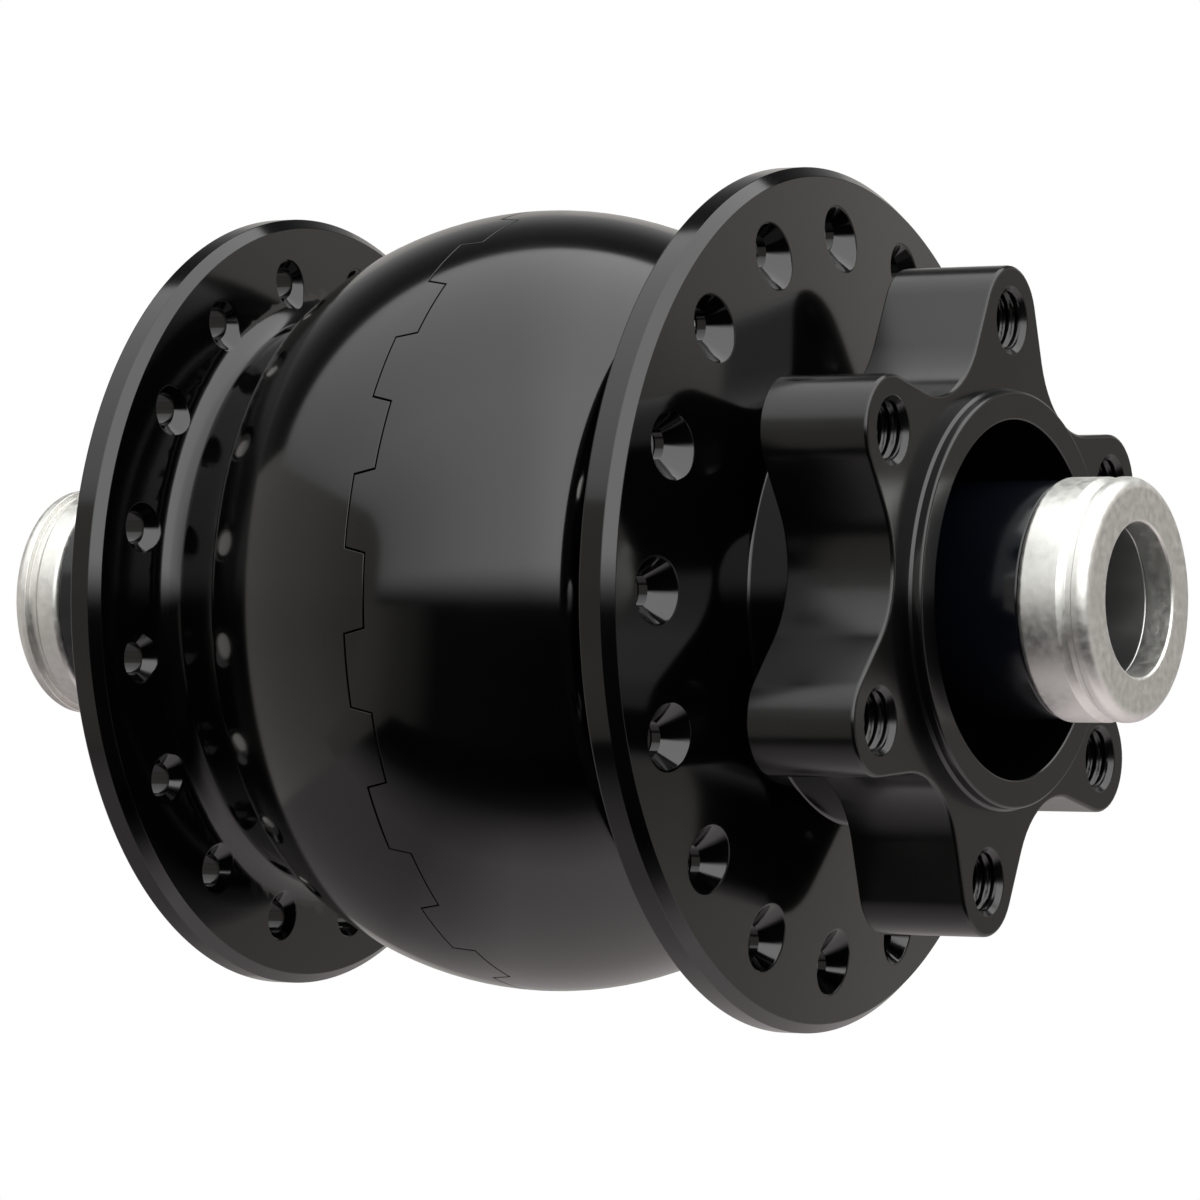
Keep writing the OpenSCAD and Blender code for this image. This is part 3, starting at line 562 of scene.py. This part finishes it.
def inner_face(r):
    return RIGHT_IN_Y + RIGHT_SLOPE * (r - RIGHT_RIM_R)


def outer_face(r):
    return inner_face(r) + RIGHT_THICK


right = Skin()
right_clock = columns(RIGHT_TOOTH)
right.chain(crown_loops(RIGHT_TOOTH, -1)[::-1])
fillet_y = inner_face(FILLET_MID_R) - NECK_FILLET / math.cos(RIGHT_DISH)
lathe(right, right_clock, arc(SHOULDER_MID_R, BARREL_Y + SHOULDER_MID, SHOULDER_R, SHOULDER_ANGLE, 90, 8)
      + arc(NECK_R + NECK_ROOT, BARREL_Y + BARREL_HALF + NECK_ROOT, NECK_ROOT, 270, 180, 10, hollow=True)
      + arc(FILLET_MID_R, fillet_y, NECK_FILLET, 180, 90 - math.degrees(RIGHT_DISH), 16, hollow=True)
      + [(RIGHT_INNER_ZONE_R, inner_face(RIGHT_INNER_ZONE_R), 1.5 * math.pi - RIGHT_DISH)])
lathe(right, right_clock, turned([(RIGHT_ZONE_OUT_R, inner_face(RIGHT_ZONE_OUT_R)),
                                  (RIGHT_RIM_R, RIGHT_IN_Y, 0.2),
                                  (RIGHT_RIM_R, outer_face(RIGHT_RIM_R) - RIM_BEVEL, 0.15),
                                  (RIGHT_RIM_R - RIM_BEVEL, outer_face(RIGHT_RIM_R - RIM_BEVEL), 0.15),
                                  (RIGHT_ZONE_OUT_R, outer_face(RIGHT_ZONE_OUT_R))], steps=4))
drilled(right, right_clock, RIGHT_SPOKE_R,
        ((1, (RIGHT_OUTER_ZONE_R, RIGHT_ZONE_OUT_R),
          flat_face(outer_face(RIGHT_RIM_R), RIGHT_RIM_R, RIGHT_SLOPE, 1), RIGHT_OUTER_SINK),
         (-1, (RIGHT_INNER_ZONE_R, RIGHT_ZONE_OUT_R),
          flat_face(RIGHT_IN_Y, RIGHT_RIM_R, RIGHT_SLOPE, -1), RIGHT_INNER_SINK)))

CORE_R = 17.6
CORE_FILLET = 0.3
BACK_Y = 28.8
FRONT_Y = 38.0
foot_r = CORE_R + CORE_FILLET
lathe(right, right_clock, [(RIGHT_OUTER_ZONE_R, outer_face(RIGHT_OUTER_ZONE_R), math.pi / 2 - RIGHT_DISH),
                           (foot_r, outer_face(foot_r), math.pi / 2 - RIGHT_DISH)]
      + arc(foot_r, outer_face(foot_r) + CORE_FILLET, CORE_FILLET, 270, 180, 4, hollow=True)
      + [(CORE_R, BACK_Y, 0.0)])

# The flanks of the lobes lean by LOBE_FLANK degrees, and each valley is a circle whose deepest point lies at
# VALLEY_R from the axis.
LOBES = 6
LOBE_CLOCK = math.radians(-5.55)
LOBE_R = 4.3
LOBE_FLANK = 22.0
BOLT_R = 22.0
VALLEY_R = 18.0
VALLEY_MID_R = 25.75
BACK_ROUND = 0.15
FRONT_ROUND = 0.3


def lobe_outline():
    """Points of the six lobes' outline and its outward directions, by increasing clock angle."""
    points, directions = [], []
    span = 90.0 - LOBE_FLANK
    apart = 360.0 / LOBES
    valley = math.radians(apart / 2)
    for k in range(LOBES):
        turn = LOBE_CLOCK + math.tau / LOBES * k
        out = np.array([math.sin(turn), math.cos(turn)])
        on = np.array([math.cos(turn), -math.sin(turn)])
        valley_mid = (out * math.cos(valley) + on * math.sin(valley)) * VALLEY_MID_R
        for degrees in np.linspace(-span, span, 17):
            normal = out * math.cos(math.radians(degrees)) + on * math.sin(math.radians(degrees))
            points.append(out * BOLT_R + normal * LOBE_R)
            directions.append(normal)
        for degrees in np.linspace(span, apart - span, 13):
            normal = out * math.cos(math.radians(degrees)) + on * math.sin(math.radians(degrees))
            points.append(valley_mid - normal * (VALLEY_MID_R - VALLEY_R))
            directions.append(normal)
    return np.array(points), np.array(directions)


lobe_points, lobe_directions = lobe_outline()


def lobe_loop(inset, y, facing):
    flat = lobe_points - lobe_directions * inset
    points = np.stack([flat[:, 0], np.full(len(flat), y), flat[:, 1]], -1)
    directions = np.stack([lobe_directions[:, 0] * math.cos(facing), np.full(len(flat), math.sin(facing)),
                           lobe_directions[:, 1] * math.cos(facing)], -1)
    return points, directions


walls = []
for degrees in (-90, -60, -30, 0):
    a = math.radians(degrees)
    walls.append(lobe_loop(BACK_ROUND * (1 - math.cos(a)), BACK_Y + BACK_ROUND * (1 + math.sin(a)), a))
for degrees in (0, 22, 45, 67, 90):
    a = math.radians(degrees)
    walls.append(lobe_loop(FRONT_ROUND * (1 - math.cos(a)), FRONT_Y - FRONT_ROUND * (1 - math.sin(a)), a))
right.chain(walls)

# A thread's crests stand at CREST_R and its flanks are THREAD_DEPTH deep; it runs out to RUN_OUT_R at both
# ends, where a chamfer leads in. HOLE_MOUTH has the rows of the front one: (radius, depth, facing).
THREAD_PITCH = 0.8
THREAD_DEPTH = 0.38
THREAD_ROWS = 8
CREST_R = 2.12
RUN_OUT_R = 2.3
LEAD_IN = 0.4
HOLE_MOUTH = ((2.75, 0.0, 90), (2.68, 0.03, 112), (2.64, 0.07, 135), (RUN_OUT_R, LEAD_IN, 135))
HOLE_POINTS = 32
threaded = FRONT_Y - BACK_Y - 2 * LEAD_IN
rows = int(threaded / THREAD_PITCH * THREAD_ROWS)
mouths, backs = [], []
for k in range(LOBES):
    turn = LOBE_CLOCK + math.tau / LOBES * k
    centre = np.array([BOLT_R * math.sin(turn), BOLT_R * math.cos(turn)])
    around = np.arange(HOLE_POINTS) * math.tau / HOLE_POINTS

    def hole_loop(radius, y, degrees=None):
        radius = np.broadcast_to(radius, around.shape)
        points = np.stack([centre[0] + radius * np.sin(around), np.full(HOLE_POINTS, y),
                           centre[1] + radius * np.cos(around)], -1)
        if degrees is None:
            return points, np.zeros_like(points)
        return points, ring(around, 1.0, 0.0, math.radians(degrees))[1]

    loops = [hole_loop(radius, FRONT_Y - deep, degrees) for radius, deep, degrees in HOLE_MOUTH]
    for i in range(rows + 1):
        y = FRONT_Y - LEAD_IN - threaded * i / rows
        along = (y / THREAD_PITCH - around / math.tau) % 1.0
        depth = THREAD_DEPTH * np.clip((1 - abs(2 * along - 1) - 0.12) / 0.7, 0.0, 1.0)
        fade = min(1.0, i / 4, (rows - i) / 4)
        loops.append(hole_loop(RUN_OUT_R + fade * (CREST_R + depth - RUN_OUT_R), y))
    loops += [hole_loop(RUN_OUT_R, BACK_Y + LEAD_IN, 225), hole_loop(RUN_OUT_R + LEAD_IN, BACK_Y, 225)]
    right.chain(loops)
    mouths.append(loops[0][0])
    backs.append(loops[-1][0])

PILOT_R = 16.5
PILOT_STEP_R = 16.3
PILOT_Y = 39.5
right.plate([walls[0][0], ring(right_clock, CORE_R, BACK_Y, 0.0)[0]] + backs, (0.0, -1.0, 0.0))
right.plate([walls[-1][0], ring(right_clock, PILOT_R, FRONT_Y, 0.0)[0]] + mouths, (0.0, 1.0, 0.0))
lathe(right, right_clock, turned([(PILOT_R, FRONT_Y), (PILOT_R, FRONT_Y + 0.5, 0.05),
                                  (PILOT_STEP_R, FRONT_Y + 0.7, 0.05), (PILOT_STEP_R, PILOT_Y, 0.25),
                                  (BEARING_R, PILOT_Y, 0.2)] + inside(-1, RIGHT_WALL_Y)[::-1]))
right.chain(seat_loops(RIGHT_TOOTH, -1)[::-1])
right_half = finished(right, "right_shell_turned", "right_shell", black)

# The mount was milled after the turning, so it is a little duller.
milled = surface("black_milled", dark=(0.0006, 0.0006, 0.0007), light=(0.0014, 0.0014, 0.0014),
                 roughness=(0.17, 0.24), cloud=140.0, grain=2500.0, grain_height=0.25,
                 marks=1800.0, marks_height=0.15)
right_half.data.materials.append(milled)
for face in right_half.data.polygons:
    face.material_index = int(face.center.y > (BACK_Y - 0.1) * MM)


# End caps
# Turned from bright aluminium and left silver, satin from the tool: they push on to the axle tube over
# an O-ring, stand in the fork's ends, and have a groove round the rim to pull them off by.
silver = surface("satin_aluminium", dark=(0.60, 0.59, 0.565), light=(0.84, 0.83, 0.80),
                 roughness=(0.36, 0.49), metallic=1.0, cloud=1500.0, grain=3000.0, grain_height=5.0,
                 marks=5000.0, marks_height=2.4)
ROUND_CLOCK = np.arange(160) * math.tau / 160
HUB_END = 50.0
CAP_R = 9.5
GRIP_R = 9.0
GRIP_Y = 47.4
GRIP_END = 48.6
O_RING_R = 8.3
O_RING_Y = 46.3
O_RING_END = 47.1
TUBE_R = 7.5
TUBE_BORE = 6.0
TUBE_END = 47.7


def cap_rows(rear):
    """A cap's profile: its rim with the grip groove, the bore for the through axle, the socket for the tube
    with the groove of the O-ring. rear is where the cap begins."""
    return turned([(TUBE_R, rear + 0.5), (TUBE_R, rear, 0.12), (CAP_R, rear, 0.5), (CAP_R, GRIP_Y, 0.12),
                   (GRIP_R, GRIP_Y + CAP_R - GRIP_R, 0.1), (GRIP_R, GRIP_END, 0.06), (CAP_R, GRIP_END, 0.1),
                   (CAP_R, HUB_END, 0.95), (TUBE_BORE, HUB_END, 0.25), (TUBE_BORE, TUBE_END),
                   (TUBE_R, TUBE_END), (TUBE_R, O_RING_END), (O_RING_R, O_RING_END), (O_RING_R, O_RING_Y),
                   (TUBE_R, O_RING_Y), (TUBE_R, rear + 0.5)], steps=5)


RIGHT_CAP_Y = 44.0
LEFT_CAP_Y = -45.4
right_cap = Skin()
lathe(right_cap, ROUND_CLOCK, cap_rows(RIGHT_CAP_Y))
finished(right_cap, "right_cap_turned", "right_end_cap", silver)
left_cap = Skin()
lathe(left_cap, ROUND_CLOCK, mirrored(cap_rows(-LEFT_CAP_Y)))
finished(left_cap, "left_cap_turned", "left_end_cap", silver)


# Axle tube
# A drawn aluminium tube, turned to length and chamfered; the through axle of the fork passes through it.
tube_finish = surface("drawn_aluminium", dark=(0.42, 0.42, 0.42), light=(0.58, 0.58, 0.58),
                      roughness=(0.30, 0.42), metallic=1.0, cloud=200.0, grain=2600.0, grain_height=1.5,
                      marks=3500.0, marks_height=1.5)
tube = Skin()
lathe(tube, ROUND_CLOCK, turned([(TUBE_BORE, 0.0), (TUBE_BORE, -TUBE_END, 0.2), (TUBE_R, -TUBE_END, 0.2),
                                 (TUBE_R, TUBE_END, 0.2), (TUBE_BORE, TUBE_END, 0.2), (TUBE_BORE, 0.0)]))
finished(tube, "axle_tube_turned", "axle_tube", tube_finish)


# Spacer sleeves
# Dark anodised aluminium tubes between the bearings and the end caps, over the axle tube.
sleeve_finish = surface("dark_sleeve", dark=(0.0010, 0.0012, 0.0022), light=(0.0022, 0.0026, 0.0046),
                        roughness=(0.12, 0.22), cloud=150.0, grain=2200.0, grain_height=0.5,
                        marks=2500.0, marks_height=0.4)
SLEEVE_R = 9.25
INNER_RACE_W = 7.0
RIGHT_SLEEVE_Y = RIGHT_WALL_Y + INNER_RACE_W
LEFT_SLEEVE_Y = LEFT_WALL_Y - INNER_RACE_W
for name, node, low, high in (("right_sleeve_turned", "right_spacer_sleeve", RIGHT_SLEEVE_Y, RIGHT_CAP_Y),
                              ("left_sleeve_turned", "left_spacer_sleeve", LEFT_CAP_Y, LEFT_SLEEVE_Y)):
    sleeve = Skin()
    lathe(sleeve, ROUND_CLOCK, turned([(TUBE_R, low + 1.0), (TUBE_R, low, 0.15), (SLEEVE_R, low, 0.2),
                                       (SLEEVE_R, high, 0.2), (TUBE_R, high, 0.15), (TUBE_R, low + 1.0)]))
    finished(sleeve, name, node, sleeve_finish)


# Dust covers
# Thin pressed discs in the mouths of the bearing bores; they turn with the shell, just clear of the sleeves.
RIGHT_COVER_Y = 24.6
LEFT_COVER_Y = -31.1
COVER_BORE = 9.31
COVER_THICK = 1.2
COVER_WEB = 0.9


def cover_rows(rear):
    """A cover's profile: a web between a rim in the bearing's bore and a lip over the sleeve."""
    web = rear + COVER_WEB
    front = rear + COVER_THICK
    return turned([(COVER_BORE, rear + 0.3), (COVER_BORE, rear, 0.1), (BEARING_R, rear, 0.1),
                   (BEARING_R, front, 0.15), (12.9, front, 0.1), (12.5, web, 0.1), (10.4, web, 0.1),
                   (10.2, front, 0.1), (COVER_BORE, front, 0.1), (COVER_BORE, rear + 0.3)])


right_cover = Skin()
lathe(right_cover, ROUND_CLOCK, cover_rows(RIGHT_COVER_Y))
finished(right_cover, "right_cover_turned", "right_dust_cover", sleeve_finish)
left_cover = Skin()
lathe(left_cover, ROUND_CLOCK, mirrored(cover_rows(-LEFT_COVER_Y)))
finished(left_cover, "left_cover_turned", "left_dust_cover", sleeve_finish)


# The pieces inside, and the terminals on the left side
# Their CAD solids have the right shape, so they stay and only get the finish of the real piece.
def refinish(nodes, material):
    for node in nodes:
        for place in frame["nodes"][node].material_slots:
            place.material = material


refinish(["terminal_ring"],
         surface("terminal_plastic", (0.012, 0.012, 0.013), (0.02, 0.02, 0.021), (0.45, 0.6),
                 grain=1400.0, grain_height=6.0))
refinish(["contact_tabs"],
         surface("tinned_brass", (0.50, 0.42, 0.24), (0.66, 0.57, 0.36), (0.25, 0.4), metallic=1.0,
                 grain=1800.0, grain_height=1.0))
refinish(["lead_wires", "coil_winding"],
         surface("enamelled_copper", (0.42, 0.15, 0.06), (0.58, 0.24, 0.10), (0.2, 0.35), metallic=1.0,
                 marks=3200.0, marks_height=30.0))
refinish(["left_inner_race", "right_inner_race", "left_outer_race", "right_outer_race", "left_balls",
          "right_balls"],
         surface("bearing_steel", (0.50, 0.50, 0.51), (0.62, 0.62, 0.63), (0.08, 0.16), metallic=1.0,
                 marks=4000.0, marks_height=0.4))
refinish(["left_stator_spacer", "right_stator_spacer"], tube_finish)
refinish(["stator_core", "left_claw_pole", "right_claw_pole", "flux_ring"],
         surface("stator_steel", (0.20, 0.20, 0.21), (0.32, 0.32, 0.33), (0.35, 0.5), metallic=1.0,
                 grain=1500.0, grain_height=4.0))
refinish(["coil_bobbin"],
         surface("bobbin_nylon", (0.16, 0.15, 0.12), (0.24, 0.22, 0.18), (0.4, 0.55),
                 grain=1500.0, grain_height=5.0))
refinish(["left_ball_cage", "right_ball_cage"],
         surface("cage_nylon", (0.55, 0.52, 0.44), (0.68, 0.65, 0.56), (0.4, 0.5),
                 grain=1500.0, grain_height=4.0))
refinish(["magnets"],
         surface("nickel_plate", (0.50, 0.48, 0.45), (0.60, 0.58, 0.54), (0.15, 0.28), metallic=1.0,
                 grain=1800.0, grain_height=1.5))
refinish(["left_circlip", "right_circlip"],
         surface("spring_steel", (0.05, 0.05, 0.055), (0.10, 0.10, 0.11), (0.25, 0.4), metallic=1.0,
                 grain=1800.0, grain_height=1.5))
refinish(["left_cap_o_ring", "right_cap_o_ring", "left_bearing_seals", "right_bearing_seals",
          "seam_o_rings"],
         surface("seal_rubber", (0.012, 0.012, 0.012), (0.02, 0.02, 0.02), (0.5, 0.7), grain=1600.0,
                 grain_height=6.0))


# Studio
# A big soft box over the hub, dark cards in front below and behind above, a white room and a pale floor.
TOWARDS = Vector((0.862, 0.507, 0.0))
SIDEWAYS = Vector((-0.507, 0.862, 0.0))
UP = Vector((0.0, 0.0, 1.0))

world = bpy.data.worlds.new("room")
bpy.context.scene.world = world
world.use_nodes = True
tree = world.node_tree
room = tree.nodes["Background"]
room.inputs["Color"].default_value = (1.0, 1.0, 1.0, 1.0)
rays = tree.nodes.new("ShaderNodeLightPath")
seen = tree.nodes.new("ShaderNodeMath")
seen.operation = "SUBTRACT"
seen.inputs[0].default_value = 1.0
tree.links.new(rays.outputs["Is Diffuse Ray"], seen.inputs[1])
level = tree.nodes.new("ShaderNodeMapRange")
level.inputs["To Min"].default_value = 0.5
level.inputs["To Max"].default_value = 1.0
tree.links.new(seen.outputs["Value"], level.inputs["Value"])
tree.links.new(level.outputs["Result"], room.inputs["Strength"])


def plain(name):
    """A new material with only its output, and its node tree."""
    material = bpy.data.materials.new(name)
    material.use_nodes = True
    tree = material.node_tree
    tree.nodes.remove(tree.nodes["Principled BSDF"])
    return material, tree


def position(tree, direction):
    """How far a point of a stage sheet lies along a direction, in metres."""
    where = tree.nodes.new("ShaderNodeTexCoord")
    along = tree.nodes.new("ShaderNodeVectorMath")
    along.operation = "DOT_PRODUCT"
    along.inputs[1].default_value = direction
    tree.links.new(where.outputs["Object"], along.inputs[0])
    return along.outputs["Value"]


def levels(tree, value, stops):
    """A smooth run of brightness over a position: stops are (position, brightness)."""
    low, high = stops[0][0], stops[-1][0]
    top = max(brightness for _, brightness in stops)
    share = tree.nodes.new("ShaderNodeMapRange")
    share.inputs["From Min"].default_value = low
    share.inputs["From Max"].default_value = high
    tree.links.new(value, share.inputs["Value"])
    ramp = tree.nodes.new("ShaderNodeValToRGB")
    ramp.color_ramp.interpolation = "LINEAR"
    elements = ramp.color_ramp.elements
    elements.remove(elements[1])
    for place, brightness in stops:
        element = elements[0] if place == low else elements.new((place - low) / (high - low))
        element.color = (brightness / top, brightness / top, brightness / top, 1.0)
    tree.links.new(share.outputs["Result"], ramp.inputs["Fac"])
    scaled = tree.nodes.new("ShaderNodeMath")
    scaled.operation = "MULTIPLY"
    scaled.inputs[1].default_value = top
    tree.links.new(ramp.outputs["Color"], scaled.inputs[0])
    return scaled.outputs["Value"]


def glow(name, tint, *runs):
    """A shining sheet's material; each run is (direction, stops), and their brightness is multiplied."""
    material, tree = plain(name)
    lamp = tree.nodes.new("ShaderNodeEmission")
    lamp.inputs["Color"].default_value = (*tint, 1.0)
    tree.links.new(lamp.outputs["Emission"], tree.nodes["Material Output"].inputs["Surface"])
    value = None
    for direction, stops in runs:
        run = levels(tree, position(tree, direction), stops)
        if value is None:
            value = run
            continue
        both = tree.nodes.new("ShaderNodeMath")
        both.operation = "MULTIPLY"
        tree.links.new(value, both.inputs[0])
        tree.links.new(run, both.inputs[1])
        value = both.outputs["Value"]
    tree.links.new(value, lamp.inputs["Strength"])
    return material


def sheet(name, rows, ends, material):
    """A stage sheet: rows are (towards the camera, up) of its cross-section, in metres."""
    points, faces = [], []
    for f, z in rows:
        for s in ends:
            points.append(tuple(TOWARDS * f + SIDEWAYS * s + UP * z))
    for k in range(len(rows) - 1):
        faces.append((2 * k, 2 * k + 1, 2 * k + 3, 2 * k + 2))
    mesh = bpy.data.meshes.new(name)
    mesh.from_pydata(points, [], faces)
    mesh.materials.append(material)
    card = bpy.data.objects.new(name, mesh)
    bpy.context.scene.collection.objects.link(card)
    card.visible_camera = False
    return card


def bend(middle_f, middle_z, radius_f, radius_z, angles):
    """Rows of a sheet round a bend; an angle of 0 degrees is towards the camera and 90 is up."""
    turns = [math.radians(a) for a in angles]
    return [(middle_f + radius_f * math.cos(a), middle_z + radius_z * math.sin(a)) for a in turns]


BOX_TOP = 0.80
BOX_FRONT = 1.3
BOX_BEND = 0.4
BOX_ENDS = (-1.72, 1.3)
FLOOR_Z = -0.3

box_rows = [(-0.52, BOX_TOP), (0.2, BOX_TOP), (BOX_FRONT - BOX_BEND, BOX_TOP)]
box_rows += bend(BOX_FRONT - BOX_BEND, BOX_TOP - BOX_BEND, BOX_BEND, BOX_BEND, range(80, -1, -10))
box_rows += [(BOX_FRONT, 0.25), (BOX_FRONT, 0.12), (BOX_FRONT, 0.0), (BOX_FRONT, -0.03)]
sheet("soft_box", box_rows, BOX_ENDS, glow(
    "soft_box", (0.985, 1.0, 0.985),
    (SIDEWAYS, [(-1.72, 1.1), (-1.4, 1.45), (-1.0, 1.70), (-0.7, 2.0), (-0.45, 2.25), (-0.10, 2.55),
                (0.12, 3.2), (1.3, 3.6)]),
    (TOWARDS, [(-0.52, 0.66), (-0.20, 0.78), (0.10, 0.88), (0.45, 1.0), (1.3, 1.02)]),
    (UP, [(-0.03, 0.0), (0.05, 0.25), (0.12, 0.62), (0.22, 1.0), (0.80, 1.0)])))


def mirrored_only(card):
    """A card that shows in the polished shell, and leaves the light on everything else as it is."""
    card.visible_diffuse = False
    card.visible_shadow = False
    card.visible_volume_scatter = False
    card.visible_transmission = False


front_rows = [(1.31, -0.03)] + bend(0.1, -0.03, 1.21, 1.2, range(-5, -91, -5))
mirrored_only(sheet("card_front", front_rows, (-2.2, 1.3), glow(
    "card_front", (1.04, 1.0, 0.94),
    (SIDEWAYS, [(-2.2, 0.48), (-1.7, 0.40), (-1.4, 0.26), (-1.1, 0.18), (-0.85, 0.02), (1.3, 0.0)]))))
mirrored_only(sheet("card_back", [(-0.53, 0.80), (-0.75, 0.62), (-0.95, 0.42)], (-1.5, 1.4), glow(
    "card_back", (1.0, 1.0, 1.0),
    (UP, [(0.42, 0.42), (0.50, 0.30), (0.62, 0.12), (0.72, 0.05), (0.80, 0.04)]))))

# The room's two walls are the halves of a sphere, cut in the direction that the camera looks in.
ROOM_R = 2.6
WALL_TINT = (1.04, 1.0, 0.95)
WALL_DEPTH = [(-2.6, 0.8), (-1.8, 0.95), (-0.6, 1.0), (0.4, 1.0), (1.7, 0.6), (2.6, 0.3)]
WALLS = (("wall_left", -1, [(-2.6, 0.60), (-0.3, 0.54), (-0.05, 0.56), (0.2, 0.62), (2.6, 0.62)]),
         ("wall_right", 1, [(-2.6, 0.62), (-0.5, 0.54), (-0.28, 0.32), (0.24, 0.30), (0.48, 0.68),
                            (2.6, 0.72)]))
for name, side, heights in WALLS:
    shape = bmesh.new()
    bmesh.ops.create_uvsphere(shape, u_segments=48, v_segments=24, radius=ROOM_R)
    bmesh.ops.bisect_plane(shape, geom=shape.verts[:] + shape.edges[:] + shape.faces[:], plane_co=(0, 0, 0),
                           plane_no=SIDEWAYS * -side, clear_outer=True)
    mesh = bpy.data.meshes.new(name)
    shape.to_mesh(mesh)
    shape.free()
    mesh.materials.append(glow(name, WALL_TINT, (UP, heights), (TOWARDS, WALL_DEPTH)))
    wall = bpy.data.objects.new(name, mesh)
    bpy.context.scene.collection.objects.link(wall)
    wall.visible_camera = False

floor_finish = bpy.data.materials.new("floor")
floor_finish.use_nodes = True
floor_shader = floor_finish.node_tree.nodes["Principled BSDF"]
floor_shader.inputs["Base Color"].default_value = (0.8, 0.8, 0.8, 1.0)
floor_shader.inputs["Roughness"].default_value = 0.8
floor = sheet("floor", [(-0.3, FLOOR_Z), (0.3, FLOOR_Z)], (-0.3, 0.3), floor_finish)
floor.visible_camera = True
light_z = FLOOR_Z + 0.01
mirrored_only(sheet("floor_light", [(-0.75, light_z), (-0.4, light_z), (0.31, light_z)], (-0.42, 0.6), glow(
    "floor_light", (1.08, 1.0, 1.01),
    (TOWARDS, [(-0.75, 0.45), (-0.25, 0.62), (-0.12, 0.78), (0.05, 1.05), (0.10, 0.75), (0.17, 0.08),
               (0.22, 0.0)]),
    (SIDEWAYS, [(-0.42, 0.5), (-0.16, 0.42), (-0.10, 0.60), (-0.04, 0.92), (0.08, 1.05), (0.6, 1.05)]))))

bpy.context.scene.view_settings.view_transform = "Standard"
